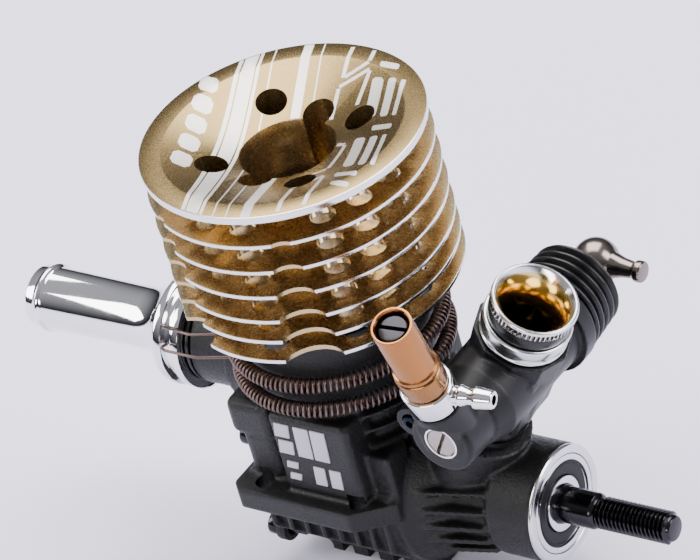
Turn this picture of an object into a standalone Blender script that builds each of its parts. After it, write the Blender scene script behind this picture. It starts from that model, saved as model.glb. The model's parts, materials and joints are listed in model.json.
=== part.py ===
"""Rear-exhaust model glow engine, .21 class, built as an assembly of separate pieces.

The origin is on the flat base of the crankcase, under the cylinder axis. +X is the crankshaft's output
end, +Z is the cylinder axis, and -Y is the side with the mixture screw. Sizes below are in millimetres.
"""

import math

import bmesh
import bpy
from mathutils import Matrix, Vector

MM = 0.001
GAP = 0.3
FACETS = 0.68  # facets on a turned piece, as a share of the steps it asks for

# Engine block
CRANK_Z = 17.5
BORE_R = 8.4
STROKE = 16.8
ROD_LENGTH = 29.0
CROWN_HEIGHT = 6.2  # piston crown above the wrist pin, which leaves 0.5 mm under the head button
CHAMBER_R = 14.0
TOWER_R = 18.0
DECK_Z = 43.2
FLANGE_SEAT_Z = 41.0
BASE_X = (-10.0, 15.0)
BASE_HALF_Y = 9.0
BACKPLATE_SCREW_R = 15.9
BACKPLATE_SCREW_ANGLES = (45, 135, 225, 315)
REAR_X = -16.0
LUG_TOP_Z = 7.0
LUG_THICKNESS = 4.5
LUG_X = (-18.5, 16.5)
LUG_HOLES_X = (-12.5, 9.3)
LUG_HOLE_Y = 18.6
LUG_EDGE_Y = 22.5
LUG_ROOT_Y = 16.8
SNOUT_R = 11.4
NOSE_X = 42.0
STUB_LENGTH = 31.0
PORT_Z = 24.5

# Crankshaft and its two ball bearings
CRANK_PIN_R = 2.7
JOURNAL_R = 7.0
SHAFT_R = 3.5
THREAD_R = 3.15
SHOULDER_X = 49.5
SHAFT_TIP_X = 66.0
REAR_BEARING = {"x": 11.1, "width": 6.0, "outer": 12.7, "inner": 7.3, "ball": 1.9}
FRONT_BEARING = {"x": 35.9, "width": 6.0, "outer": 9.5, "inner": 3.8, "ball": 1.5}

# Cooling head
HEAD_R = 26.9
HEAD_TOP_Z = 78.5
HUB_R = 17.6
FIN_RIM_Z = (46.3, 50.8, 55.4, 60.9, 66.5, 72.2)
RIM_THICKNESS = 0.8
RIM_FLAT_R = 22.8
WELL_R = 8.9
DISH_DROP = 4.4
PLUG_SEAT_Z = 58.0
BOLT_CIRCLE_R = 14.1
BOLT_HOLE_R = 3.0
FIN_HOLE_RING_R = 21.5
FIN_HOLE_R = 2.45
FIN_HOLE_ANGLES = (0, 20, 40, 80, 100, 140, 160, 180, 200, 220, 260, 280, 320, 340)
NOTCH_ANGLES = (60, 120, 240, 300)

# Carburettor: the barrel axis runs along Y, and the throat leans forward
CARB_X = 38.1
CARB_Z = 32.9
CARB_TILT = math.radians(30.0)
BARREL_R = 5.6
BALL_Y = 31.1
BALL_R = 4.6
BOOT_START_Y = 14.4
BOOT_END_Y = 25.3
NEEDLE_BASE_Y = -20.1
NEEDLE_DIRECTION = Vector((0.11, -0.344, 0.932)).normalized()
NIPPLE_DIRECTION = Vector((0.986, 0.155, -0.059))

# Exhaust
SPRING_Z = (34.8, 29.2)
SPRING_RING_R = 20.1
SPRING_COIL_R = 1.6
SPRING_WIRE_R = 0.42
HEADER_TUBE_R = 6.2
HEADER_LENGTH = 74.0

FINISHES = {
    "cast_black": ((0.012, 0.012, 0.013), 0.0, 0.62),
    "gold_anodised": ((0.55, 0.36, 0.13), 1.0, 0.33),
    "bright_aluminium": ((0.80, 0.80, 0.82), 1.0, 0.22),
    "black_steel": ((0.03, 0.03, 0.033), 1.0, 0.25),
    "steel": ((0.55, 0.55, 0.57), 1.0, 0.25),
    "brass": ((0.60, 0.40, 0.15), 1.0, 0.30),
    "copper": ((0.62, 0.33, 0.20), 1.0, 0.25),
    "rubber": ((0.012, 0.012, 0.012), 0.0, 0.70),
    "composite": ((0.02, 0.02, 0.022), 0.0, 0.45),
    "spring_steel": ((0.10, 0.07, 0.06), 1.0, 0.40),
}


def finish(name):
    """Return the named material, made once."""
    if name in bpy.data.materials:
        return bpy.data.materials[name]
    colour, metallic, roughness = FINISHES[name]
    material = bpy.data.materials.new(name)
    material.use_nodes = True
    shader = material.node_tree.nodes["Principled BSDF"]
    shader.inputs["Base Color"].default_value = (*colour, 1.0)
    shader.inputs["Metallic"].default_value = metallic
    shader.inputs["Roughness"].default_value = roughness
    return material


def add_object(name, bm, finish_name, matrix=None):
    """Turn a bmesh in millimetres into an object, placed by matrix (in millimetres too)."""
    bmesh.ops.remove_doubles(bm, verts=bm.verts, dist=1e-4)
    bmesh.ops.recalc_face_normals(bm, faces=bm.faces)
    bmesh.ops.transform(bm, matrix=Matrix.Scale(MM, 4), verts=bm.verts)
    mesh = bpy.data.meshes.new(name)
    bm.to_mesh(mesh)
    bm.free()
    mesh.materials.append(finish(finish_name))
    obj = bpy.data.objects.new(name, mesh)
    bpy.context.scene.collection.objects.link(obj)
    if matrix is not None:
        place = matrix.copy()
        place.translation = place.translation * MM
        obj.matrix_world = place
    mesh.shade_smooth()
    mesh.set_sharp_from_angle(angle=math.radians(35))
    return obj


def lathe_mesh(profile, steps=20):
    """Spin (radius, height) points about Z; a ring profile is closed, an axis-to-axis one is left open."""
    bm = bmesh.new()
    verts = [bm.verts.new((radius, 0.0, height)) for radius, height in profile]
    edges = [bm.edges.new(pair) for pair in zip(verts, verts[1:])]
    if min(radius for radius, _ in profile) > 0.0:
        edges.append(bm.edges.new((verts[-1], verts[0])))
    bmesh.ops.spin(
        bm, geom=verts + edges, cent=(0, 0, 0), axis=(0, 0, 1), angle=2 * math.pi, steps=steps, use_merge=True
    )
    return bm


def along(direction, origin=(0.0, 0.0, 0.0), toward=(0.0, 0.0, 1.0)):
    """Matrix that lays local Z along direction at origin, with local X leaning to toward."""
    z_axis = Vector(direction).normalized()
    hint = Vector(toward)
    if abs(z_axis.dot(hint.normalized())) > 0.99:
        hint = Vector((1.0, 0.0, 0.0))
    y_axis = z_axis.cross(hint).normalized()
    x_axis = y_axis.cross(z_axis)
    matrix = Matrix((x_axis, y_axis, z_axis)).transposed().to_4x4()
    matrix.translation = Vector(origin)
    return matrix


X_AXIS = along((1, 0, 0), (0, 0, CRANK_Z))
UPRIGHT = Matrix.Translation((0, 0, CRANK_Z))
CARB = Matrix.Translation((CARB_X, 0, CRANK_Z + CARB_Z)) @ Matrix.Rotation(CARB_TILT, 4, "Y")
BARREL = along((0, 1, 0), (CARB_X, 0, CRANK_Z + CARB_Z))
NEEDLE = along(NEEDLE_DIRECTION, (CARB_X, NEEDLE_BASE_Y, CRANK_Z + CARB_Z), NIPPLE_DIRECTION)


def turned(name, profile, finish_name, matrix, steps=20):
    """A turned piece: its profile spun about the local Z axis of matrix."""
    return add_object(name, lathe_mesh(profile, max(8, round(steps * FACETS))), finish_name, matrix)


def ring(inner, outer, low, high):
    """Closed profile of a plain ring."""
    return [(outer, high), (outer, low), (inner, low), (inner, high)]


def rod(radius, low, high, chamfer=0.0):
    """Axis-to-axis profile of a plain round bar with chamfered ends."""
    if chamfer == 0.0:
        return [(0, high), (radius, high), (radius, low), (0, low)]
    return [
        (0, high),
        (radius - chamfer, high),
        (radius, high - chamfer),
        (radius, low + chamfer),
        (radius - chamfer, low),
        (0, low),
    ]


def boxed(name, low, high, finish_name, bevel=0.0, matrix=None):
    """A block between two corners."""
    bm = bmesh.new()
    bmesh.ops.create_cube(bm, size=1.0)
    size = [b - a for a, b in zip(low, high)]
    middle = [(a + b) / 2 for a, b in zip(low, high)]
    bmesh.ops.transform(bm, matrix=Matrix.Translation(middle) @ Matrix.Diagonal((*size, 1.0)), verts=bm.verts)
    if bevel:
        bmesh.ops.bevel(
            bm, geom=bm.edges[:], offset=bevel, segments=1, profile=0.5, affect="EDGES", clamp_overlap=True
        )
    return add_object(name, bm, finish_name, matrix)


def helper(obj):
    """Hide an object that only shapes another one."""
    obj.hide_render = True
    obj.display_type = "WIRE"
    return obj


def combine(target, others, operation):
    """Join or cut a target by helper objects, one exact boolean for each."""
    for other in others:
        modifier = target.modifiers.new(operation.title() + "_" + other.name, "BOOLEAN")
        modifier.operation = operation
        modifier.solver = "EXACT"
        modifier.object = helper(other)


def cutter_pins(name, places, radius, low, high, steps=6):
    """One helper that holds several upright round pins, clear of each other."""
    bm = bmesh.new()
    for x, y in places:
        made = bmesh.ops.create_cone(
            bm, cap_ends=True, segments=steps, radius1=radius, radius2=radius, depth=high - low
        )
        bmesh.ops.translate(bm, verts=made["verts"], vec=(x, y, (low + high) / 2))
    return add_object(name, bm, "steel", UPRIGHT)


def polar(radius, degrees):
    """Point on a circle about the cylinder axis."""
    angle = math.radians(degrees)
    return radius * math.cos(angle), radius * math.sin(angle)


# ---------------------------------------------------------------- crankcase


def crankcase():
    """Cast case: chamber, cylinder tower, snout, lugs, exhaust stub, carburettor boss and ribs."""
    tower = [(0, DECK_Z), (TOWER_R, DECK_Z), (TOWER_R, 17.5), (15.6, 15.2), (0, 15.2)]
    case = turned("crankcase", tower, "cast_black", UPRIGHT, 36)
    snout = [
        (0, NOSE_X),
        (SNOUT_R, NOSE_X),
        (SNOUT_R, 31.5),
        (10.2, 31.0),
        (11.6, 24.0),
        (16.4, 17.5),
        (16.4, REAR_X),
        (0, REAR_X),
    ]
    parts = [turned("case_snout", snout, "cast_black", X_AXIS, 32)]
    parts.append(
        boxed("case_base", (BASE_X[0], -BASE_HALF_Y, 0), (BASE_X[1], BASE_HALF_Y, 6.0), "cast_black")
    )
    for index, side in enumerate((-1, 1)):
        low, high = sorted((side * 14.4, side * LUG_EDGE_Y))
        top = CRANK_Z + LUG_TOP_Z
        parts.append(
            boxed(
                f"case_lug_{index}", (LUG_X[0], low, top - LUG_THICKNESS), (LUG_X[1], high, top), "cast_black", 0.8
            )
        )
        low, high = sorted((side * LUG_ROOT_Y, side * 14.4))
        parts.append(
            boxed(f"case_lug_root_{index}", (REAR_X, low, CRANK_Z - 3.0), (LUG_X[1], high, top - 1.5), "cast_black")
        )
        low, high = sorted((side * 14.3, side * 19.6))
        parts.append(
            boxed(f"case_panel_{index}", (-6.5, low, 26.5), (11.5, high, CRANK_Z + 25.5), "cast_black", 0.8)
        )
    for index, angle in enumerate(BACKPLATE_SCREW_ANGLES):
        y, z = polar(BACKPLATE_SCREW_R, angle)
        place = along((1, 0, 0), (0, y, CRANK_Z + z))
        parts.append(turned(f"case_screw_boss_{index}", rod(3.0, REAR_X, REAR_X + 7.0), "cast_black", place, 16))
    for index, (rear, low, high) in enumerate(((REAR_X, 8.0, 18.0), (-18.5, 17.0, 24.5))):
        corner = (rear, -17.6, CRANK_Z + low)
        parts.append(boxed(f"case_shoulder_{index}", corner, (-8.2, 17.6, CRANK_Z + high), "cast_black", 1.5))
    parts.append(
        turned(
            "case_exhaust_stub",
            rod(9.5, 0, STUB_LENGTH),
            "cast_black",
            along((-1, 0, 0), (0, 0, CRANK_Z + PORT_Z)),
        )
    )
    parts.append(turned("case_carb_boss", rod(8.8, -31.0, -18.3), "cast_black", CARB, 22))
    for index, x in enumerate((20.5, 24.5, 28.5)):
        parts.append(
            turned(f"case_snout_rib_{index}", rod(13.0 - index * 0.6, x, x + 1.4), "cast_black", X_AXIS, 26)
        )
    combine(case, parts, "UNION")

    x0 = REAR_BEARING["x"] - GAP
    x1 = FRONT_BEARING["x"] - GAP
    crank_bore = [
        (0, NOSE_X + 1),
        (FRONT_BEARING["outer"] + GAP, NOSE_X + 1),
        (FRONT_BEARING["outer"] + GAP, x1),
        (JOURNAL_R + GAP, x1),
        (JOURNAL_R + GAP, x0 + REAR_BEARING["width"] + 2 * GAP),
        (REAR_BEARING["outer"] + GAP, x0 + REAR_BEARING["width"] + 2 * GAP),
        (REAR_BEARING["outer"] + GAP, x0),
        (CHAMBER_R, x0),
        (CHAMBER_R, REAR_X - 1.0),
        (0, REAR_X - 1.0),
    ]
    liner_bore = [
        (0, DECK_Z + 1),
        (11.9, DECK_Z + 1),
        (11.9, FLANGE_SEAT_Z),
        (10.3, FLANGE_SEAT_Z),
        (10.3, 0.0),
        (0, 0.0),
    ]
    stub = along((-1, 0, 0), (0, 0, CRANK_Z + PORT_Z))
    cutters = [
        turned("cut_crank_bore", crank_bore, "steel", X_AXIS, 30),
        turned("cut_liner_bore", liner_bore, "steel", UPRIGHT, 30),
        turned("cut_exhaust_bore", rod(6.0, 5.0, 32.0), "steel", stub, 14),
        turned("cut_rear_face", rod(15.8, -20.0, REAR_X), "steel", X_AXIS, 30),
        turned("cut_carb_socket", [(0, -17), (5.9, -17), (5.9, -25), (4.0, -25), (4.0, -33.5), (0, -33.5)],
               "steel", CARB, 15),
        cutter_pins("cut_head_threads", [polar(BOLT_CIRCLE_R, a) for a in (45, 135, 225, 315)], 1.8, 33.0, 44.5),
        cutter_pins(
            "cut_lug_holes",
            [(x, side * LUG_HOLE_Y) for x in LUG_HOLES_X for side in (-1, 1)],
            1.9,
            LUG_TOP_Z - LUG_THICKNESS - 1,
            LUG_TOP_Z + 1,
            12,
        ),
        turned("cut_clamp_hole", rod(1.8, -12, 12), "steel", along((0, 1, 0), CARB @ Vector((-7.4, 0, -20.6))), 12),
    ]
    for index, side in enumerate((-1, 1)):
        low, high = sorted((side * 9.0, side * 13.6))
        cutters.append(
            boxed(f"cut_transfer_{index}", (-4.6, low, CRANK_Z + 4.0), (4.6, high, CRANK_Z + 30.0), "steel")
        )
    for index, x in enumerate((-11.0, -5.0, 1.0, 7.0)):
        cutters.append(boxed(f"cut_base_groove_{index}", (x, -20, -1.0), (x + 3.0, 20, 2.2), "steel"))
    for index, angle in enumerate(BACKPLATE_SCREW_ANGLES):
        y, z = polar(BACKPLATE_SCREW_R, angle)
        place = along((1, 0, 0), (0, y, CRANK_Z + z))
        thread = rod(1.4, REAR_X - 0.5, REAR_X + 4.0)
        cutters.append(turned(f"cut_backplate_thread_{index}", thread, "steel", place, 8))
    combine(case, cutters, "DIFFERENCE")


def backplate():
    """Round rear cover with its plug in the chamber and four lobes, and its screws."""
    face = REAR_X - GAP
    plug = [(0, -4.6), (12.6, -4.6), (13.6, -5.6), (13.6, face), (15.2, face), (15.2, face - 2.2), (13.2, face - 2.2),
            (12.6, face - 2.9), (0, face - 2.9)]
    cover = turned("backplate", plug, "cast_black", X_AXIS, 30)
    lobes = []
    holes = []
    for index, angle in enumerate(BACKPLATE_SCREW_ANGLES):
        y, z = polar(BACKPLATE_SCREW_R, angle)
        place = along((1, 0, 0), (0, y, CRANK_Z + z))
        lobes.append(turned(f"backplate_lobe_{index}", rod(2.9, face - 2.2, face), "cast_black", place, 16))
        holes.append(turned(f"cut_backplate_hole_{index}", rod(1.7, face - 4.0, face + 1.0), "steel", place, 12))
        head = face - 2.5
        screw = [(0, face + 3.5), (1.1, face + 3.5), (1.1, head), (2.3, head), (2.3, head - 2.0), (1.2, head - 2.0),
                 (1.2, head - 1.0), (0, head - 1.0)]
        turned(f"backplate_screw_{index + 1}", screw, "black_steel", place, 12)
    combine(cover, lobes, "UNION")
    combine(cover, holes, "DIFFERENCE")


# ---------------------------------------------------------------- cylinder and head


def cylinder_parts():
    """Liner with its ports, piston, wrist pin with clips, and connecting rod."""
    liner = turned(
        "cylinder_liner",
        [(11.6, 43.2), (11.6, 41.3), (10.0, 41.3), (10.0, 14.8), (BORE_R, 14.8), (BORE_R, 43.2)],
        "steel",
        UPRIGHT,
        26,
    )
    ports = [boxed("cut_exhaust_port", (-11, -4.5, CRANK_Z + 29.5), (-7, 4.5, CRANK_Z + 35.5), "steel")]
    for index, side in enumerate((-1, 1)):
        low, high = sorted((side * 7.0, side * 11.0))
        ports.append(
            boxed(f"cut_boost_port_{index}", (-3.5, low, CRANK_Z + 26.5), (3.5, high, CRANK_Z + 29.5), "steel")
        )
    combine(liner, ports, "DIFFERENCE")

    pin_z = ROD_LENGTH - STROKE / 2
    piston_r = BORE_R - GAP
    piston = turned(
        "piston",
        [(0, pin_z + CROWN_HEIGHT), (piston_r, pin_z + CROWN_HEIGHT), (piston_r, pin_z - 6.0),
         (6.9, pin_z - 6.0), (6.9, pin_z + CROWN_HEIGHT - 1.6), (0, pin_z + CROWN_HEIGHT - 1.6)],
        "bright_aluminium",
        UPRIGHT,
        26,
    )
    pin_axis = along((1, 0, 0), (0, 0, CRANK_Z + pin_z))
    bosses = [
        turned("piston_boss_front", rod(3.8, 3.6, 7.4), "steel", pin_axis, 14),
        turned("piston_boss_rear", rod(3.8, -7.4, -3.6), "steel", pin_axis, 14),
    ]
    combine(piston, bosses, "UNION")
    combine(piston, [turned("cut_pin_bore", rod(2.6, -9, 9), "steel", pin_axis, 14)], "DIFFERENCE")
    turned("wrist_pin", ring(1.2, 2.3, -6.2, 6.2), "steel", pin_axis, 14)
    turned("wrist_pin_clip_front", ring(1.5, 2.3, 6.5, 7.1), "spring_steel", pin_axis, 14)
    turned("wrist_pin_clip_rear", ring(1.5, 2.3, -7.1, -6.5), "spring_steel", pin_axis, 14)

    crank_pin_z = -STROKE / 2
    rod_body = turned("connecting_rod", rod(4.3, -2.9, 2.9), "bright_aluminium",
                      along((1, 0, 0), (0, 0, CRANK_Z + crank_pin_z)), 16)
    eye = turned("rod_small_eye", rod(3.7, -2.9, 2.9), "steel", pin_axis, 14)
    web = boxed("rod_web", (-1.6, -2.3, CRANK_Z + crank_pin_z + 1), (1.6, 2.3, CRANK_Z + pin_z - 1), "steel")
    combine(rod_body, [eye, web], "UNION")
    pin_place = along((1, 0, 0), (0, 0, CRANK_Z + crank_pin_z))
    combine(
        rod_body,
        [
            turned("cut_rod_big_bore", rod(3.6, -4, 4), "steel", pin_place, 16),
            turned("cut_rod_small_bore", rod(2.6, -4, 4), "steel", pin_axis, 14),
        ],
        "DIFFERENCE",
    )
    turned("big_end_bush", ring(2.6, 3.3, -2.9, 2.9), "brass", pin_place, 16)


def fin_stack_profile():
    """Outline of the head from its underside, out over each fin, down the dish and the plug well."""
    points = [(12.0, DECK_Z + GAP), (HUB_R, DECK_Z + GAP)]
    for rim in FIN_RIM_Z:
        points += [(HUB_R, rim - 1.3), (HEAD_R, rim - RIM_THICKNESS), (HEAD_R, rim), (HUB_R, rim + 0.1)]
    dish_z = HEAD_TOP_Z - DISH_DROP
    points += [
        (HUB_R, 75.0),
        (HEAD_R, 77.0),
        (HEAD_R, HEAD_TOP_Z),
        (RIM_FLAT_R, HEAD_TOP_Z),
        (WELL_R + 0.2, dish_z),
        (WELL_R, dish_z - 2.0),
        (WELL_R, PLUG_SEAT_Z),
        (3.5, PLUG_SEAT_Z),
        (3.5, 48.8),
        (12.0, 48.8),
    ]
    return points


def cooling_head():
    """Finned head: drilled fins, scalloped notches, bolt wells and the two lobes beside the plug well."""
    head = turned("cooling_head", fin_stack_profile(), "gold_anodised", UPRIGHT, 40)
    bolts = [polar(BOLT_CIRCLE_R, angle) for angle in (45, 135, 225, 315)]
    cutters = [
        cutter_pins(
            "cut_fin_holes", [polar(FIN_HOLE_RING_R, a) for a in FIN_HOLE_ANGLES], FIN_HOLE_R, 44.0, 74.0
        ),
        cutter_pins("cut_bolt_wells", bolts, BOLT_HOLE_R, 52.0, 80.0, 8),
        cutter_pins("cut_bolt_shanks", bolts, 2.0, 42.0, 53.0, 6),
        cutter_pins("cut_lobes", [(0, -10.6), (0, 10.6)], 3.1, 62.0, 80.0, 8),
    ]
    bm = bmesh.new()
    for angle in NOTCH_ANGLES:
        made = bmesh.ops.create_cone(bm, cap_ends=True, segments=12, radius1=6.6, radius2=3.0, depth=30.0)
        x, y = polar(29.6, angle)
        bmesh.ops.translate(bm, verts=made["verts"], vec=(x, y, 59.0))
    cutters.append(add_object("cut_notches", bm, "steel", UPRIGHT))
    combine(head, cutters, "DIFFERENCE")


def head_parts():
    """Combustion button, gasket, bolts and glow plug."""
    turned(
        "head_button",
        [(3.6, 48.5), (11.6, 48.5), (11.6, 44.1), (8.0, 44.1), (5.5, 45.6), (3.6, 46.2)],
        "brass",
        UPRIGHT,
        26,
    )
    turned("head_gasket", ring(8.6, 11.6, 43.5, 43.8), "copper", UPRIGHT, 24)
    for index, angle in enumerate((45, 135, 225, 315)):
        x, y = polar(BOLT_CIRCLE_R, angle)
        bolt = [(0, 34.5), (1.5, 34.5), (1.5, 52.3), (2.7, 52.3), (2.7, 56.0), (1.4, 56.0), (1.4, 54.4), (0, 54.4)]
        turned(f"head_bolt_{index + 1}", bolt, "black_steel", Matrix.Translation((x, y, CRANK_Z)), 16)
    turned("glow_plug_washer", ring(3.6, 5.6, 58.3, 58.9), "copper", UPRIGHT, 24)
    plug = [
        (0, 67.4), (1.4, 67.4), (1.7, 67.0), (1.7, 66.0), (1.2, 65.6), (1.2, 64.6), (2.4, 64.4), (2.4, 63.2),
        (4.6, 63.2), (4.6, 59.2), (3.2, 59.2), (3.2, 47.0), (1.6, 46.6), (0, 46.6),
    ]
    turned("glow_plug", plug, "steel", UPRIGHT, 18)


# ---------------------------------------------------------------- crankshaft and bearings


def crankshaft():
    """Crank web with a short stub pin, hollow journal and threaded output end."""
    shaft = turned(
        "crankshaft",
        [
            (0, SHAFT_TIP_X),
            (THREAD_R - 0.5, SHAFT_TIP_X),
            (THREAD_R, SHAFT_TIP_X - 0.5),
            (THREAD_R, SHOULDER_X),
            (SHAFT_R, SHOULDER_X - 0.3),
            (SHAFT_R, 35.0),
            (JOURNAL_R, 34.6),
            (JOURNAL_R, 10.4),
            (13.5, 10.4),
            (13.5, 4.2),
            (0, 4.2),
        ],
        "black_steel",
        X_AXIS,
        24,
    )
    crank_pin = along((1, 0, 0), (0, 0, CRANK_Z - STROKE / 2))
    combine(shaft, [turned("crank_pin", rod(CRANK_PIN_R, 3.3, 6.0, 0.2), "steel", crank_pin, 20)], "UNION")
    trims = [
        boxed("cut_crank_side_a", (3.0, 6.5, CRANK_Z - 14), (9.8, 15, CRANK_Z + 2), "steel"),
        boxed("cut_crank_side_b", (3.0, -15, CRANK_Z - 14), (9.8, -6.5, CRANK_Z + 2), "steel"),
        turned("cut_gas_passage", rod(4.4, 3.0, 29.0), "steel", X_AXIS, 20),
        boxed("cut_intake_window", (19.5, -4.0, CRANK_Z + 2), (29.0, 4.0, CRANK_Z + 9), "steel"),
    ]
    combine(shaft, trims, "DIFFERENCE")


def bearing(prefix, spec, ball_count):
    """Outer race, inner race and the cage with its balls."""
    low = spec["x"]
    high = low + spec["width"]
    wall = (spec["outer"] - spec["inner"] - 2 * spec["ball"] - 2 * GAP) / 2
    turned(f"{prefix}_outer_race", ring(spec["outer"] - wall, spec["outer"], low, high), "steel", X_AXIS, 24)
    turned(f"{prefix}_inner_race", ring(spec["inner"], spec["inner"] + wall, low, high), "steel", X_AXIS, 20)
    pitch = (spec["outer"] + spec["inner"]) / 2
    middle = (low + high) / 2
    cage = turned(f"{prefix}_balls", ring(pitch - 0.7, pitch + 0.7, middle - 0.9, middle + 0.9), "steel", X_AXIS, 18)
    balls = []
    for index in range(ball_count):
        bm = bmesh.new()
        bmesh.ops.create_icosphere(bm, subdivisions=1, radius=spec["ball"])
        y, z = polar(pitch, 360 * index / ball_count)
        place = Matrix.Translation((middle, y, CRANK_Z + z))
        balls.append(add_object(f"{prefix}_ball_{index}", bm, "steel", place))
    combine(cage, balls, "UNION")


def bearings():
    """The large rear bearing and the front one, with its seal."""
    bearing("rear_bearing", REAR_BEARING, 8)
    bearing("front_bearing", FRONT_BEARING, 6)
    face = FRONT_BEARING["x"] + FRONT_BEARING["width"]
    turned("front_bearing_seal", ring(5.2, 8.1, face - 0.9, face - 0.3), "rubber", X_AXIS, 20)


# ---------------------------------------------------------------- carburettor


def carb_body():
    """Moulded body: barrel housing, throat, base trunk, needle boss and end boss."""
    body = turned("carb_body", rod(8.6, -16.0, 12.0, 0.6), "composite", BARREL, 26)
    boss_place = along((0, 1, 0), (CARB_X - 8.2, 0, CRANK_Z + CARB_Z + 0.6))
    unions = [
        turned("carb_end_boss", rod(6.2, -24.4, -14.0, 0.5), "composite", BARREL, 20),
        turned("carb_boot_flange", rod(10.2, 10.2, 14.0, 0.5), "composite", BARREL, 26),
        turned("carb_throat_neck", rod(8.8, -2.0, 9.7, 0.3), "composite", CARB, 22),
        turned(
            "carb_trunk",
            [(0, 0), (8.0, 0), (7.4, -14.0), (7.4, -17.0), (5.5, -17.0), (5.5, -24.4), (0, -24.4)],
            "composite",
            CARB,
            20,
        ),
        turned("carb_needle_boss", [(0, 10.9), (4.9, 10.9), (5.7, 3.0), (5.7, -0.7), (0, -0.7)],
               "composite", NEEDLE, 18),
        turned("carb_idle_boss", rod(2.9, -21.4, -8.0, 0.3), "composite", boss_place, 16),
    ]
    combine(body, unions, "UNION")
    cutters = [
        turned("cut_barrel_bore", rod(BARREL_R + GAP, -15.0, 15.0), "steel", BARREL, 22),
        turned("cut_throat_bore", [(0, 10.5), (5.4, 10.5), (4.5, 4.0), (4.5, -26.0), (0, -26.0)],
               "steel", CARB, 16),
        turned("cut_mixture_bore", rod(3.4, -25.0, -14.0), "steel", BARREL, 16),
        turned("cut_end_boss_face", rod(6.6, -32.0, -24.4), "steel", BARREL, 20),
        turned("cut_needle_bore", rod(2.0, 4.0, 12.0), "steel", NEEDLE, 14),
        turned("cut_idle_bore", rod(1.9, -22.0, -12.0), "steel", boss_place, 14),
        turned("cut_clamp_groove", ring(4.9, 7.0, -22.6, -18.6), "steel", CARB, 18),
    ]
    combine(body, cutters, "DIFFERENCE")


def carburettor():
    """Body, venturi stack, slide barrel, boot, needle stack, fuel banjo and screws."""
    carb_body()
    turned("venturi_collar", ring(5.9, 8.4, 10.0, 13.9), "bright_aluminium", CARB, 22)
    turned("venturi_oring", ring(6.6, 7.9, 14.2, 16.8), "rubber", CARB, 22)
    turned(
        "venturi_ring",
        [(8.2, 19.4), (8.2, 17.1), (6.2, 17.1), (6.2, 14.3), (5.5, 14.1), (5.5, 10.8), (4.6, 10.8), (6.0, 16.0), (7.5, 19.4)],
        "bright_aluminium",
        CARB,
        24,
    )
    turned("carb_base_seal", ring(5.8, 7.2, -18.0, -17.3), "rubber", CARB, 18)
    barrel = [
        (0, 26.2), (2.1, 26.2), (2.1, 14.2), (BARREL_R, 14.2), (BARREL_R, 4.8), (2.3, 4.8), (2.3, 12.6), (0, 12.6),
    ]
    turned("throttle_barrel", barrel, "bright_aluminium", BARREL, 20)
    throttle_ball()
    boot = []
    folds = 4
    pitch = (BOOT_END_Y - BOOT_START_Y - 0.8) / folds
    for index in range(folds):
        start = BOOT_START_Y + index * pitch
        boot += [(8.3, start), (9.9 - 0.2 * index, start + pitch * 0.35), (9.9 - 0.2 * index, start + pitch * 0.65)]
    boot += [(8.2, BOOT_END_Y - 0.8), (2.5, BOOT_END_Y), (2.5, BOOT_END_Y - 1.0), (7.0, BOOT_END_Y - 1.6)]
    boot += [(7.0, BOOT_START_Y)]
    turned("dust_boot", boot, "rubber", BARREL, 20)
    needle_parts()
    mixture = [(0, -24.2), (3.0, -24.2), (3.0, -15.6), (1.6, -15.6), (1.6, -1.4), (0, -1.4)]
    screw = turned("mixture_screw", mixture, "black_steel", BARREL, 16)
    z = CRANK_Z + CARB_Z
    slot = boxed("cut_mixture_slot", (CARB_X - 4, -25, z - 0.45), (CARB_X + 4, -23.2, z + 0.45), "steel")
    combine(screw, [slot], "DIFFERENCE")
    idle = along((0, 1, 0), (CARB_X - 8.2, 0, CRANK_Z + CARB_Z + 0.6))
    idle_profile = [(0, -13.0), (1.5, -13.0), (1.5, -21.9), (0.8, -21.9), (0.8, -20.6), (0, -20.6)]
    turned("idle_stop_screw", idle_profile, "black_steel", idle, 14)
    clamp = along((0, 1, 0), CARB @ Vector((-7.4, 0, -20.6)))
    turned("carb_clamp_screw", [(0, 9.6), (1.4, 9.6), (1.4, -9.1), (2.6, -9.1), (2.6, -11.2), (0, -11.2)],
           "black_steel", clamp, 14)


def throttle_ball():
    """Ball stud on the end of the slide, with its tapered neck turned forward."""
    bm = bmesh.new()
    bmesh.ops.create_uvsphere(bm, u_segments=14, v_segments=9, radius=BALL_R)
    ball = add_object("throttle_ball", bm, "steel", BARREL @ Matrix.Translation((0, 0, BALL_Y)))
    neck = [(0, 10.4), (2.2, 10.4), (2.2, 8.6), (1.5, 8.2), (2.5, 3.6), (0, 3.0)]
    origin = (CARB_X, BALL_Y, CRANK_Z + CARB_Z)
    combine(
        ball,
        [
            turned("ball_neck", neck, "steel", along((1, 0, -0.05), origin), 16),
            turned("ball_shank", rod(1.9, 26.5, 29.0), "steel", BARREL, 14),
        ],
        "UNION",
    )


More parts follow.
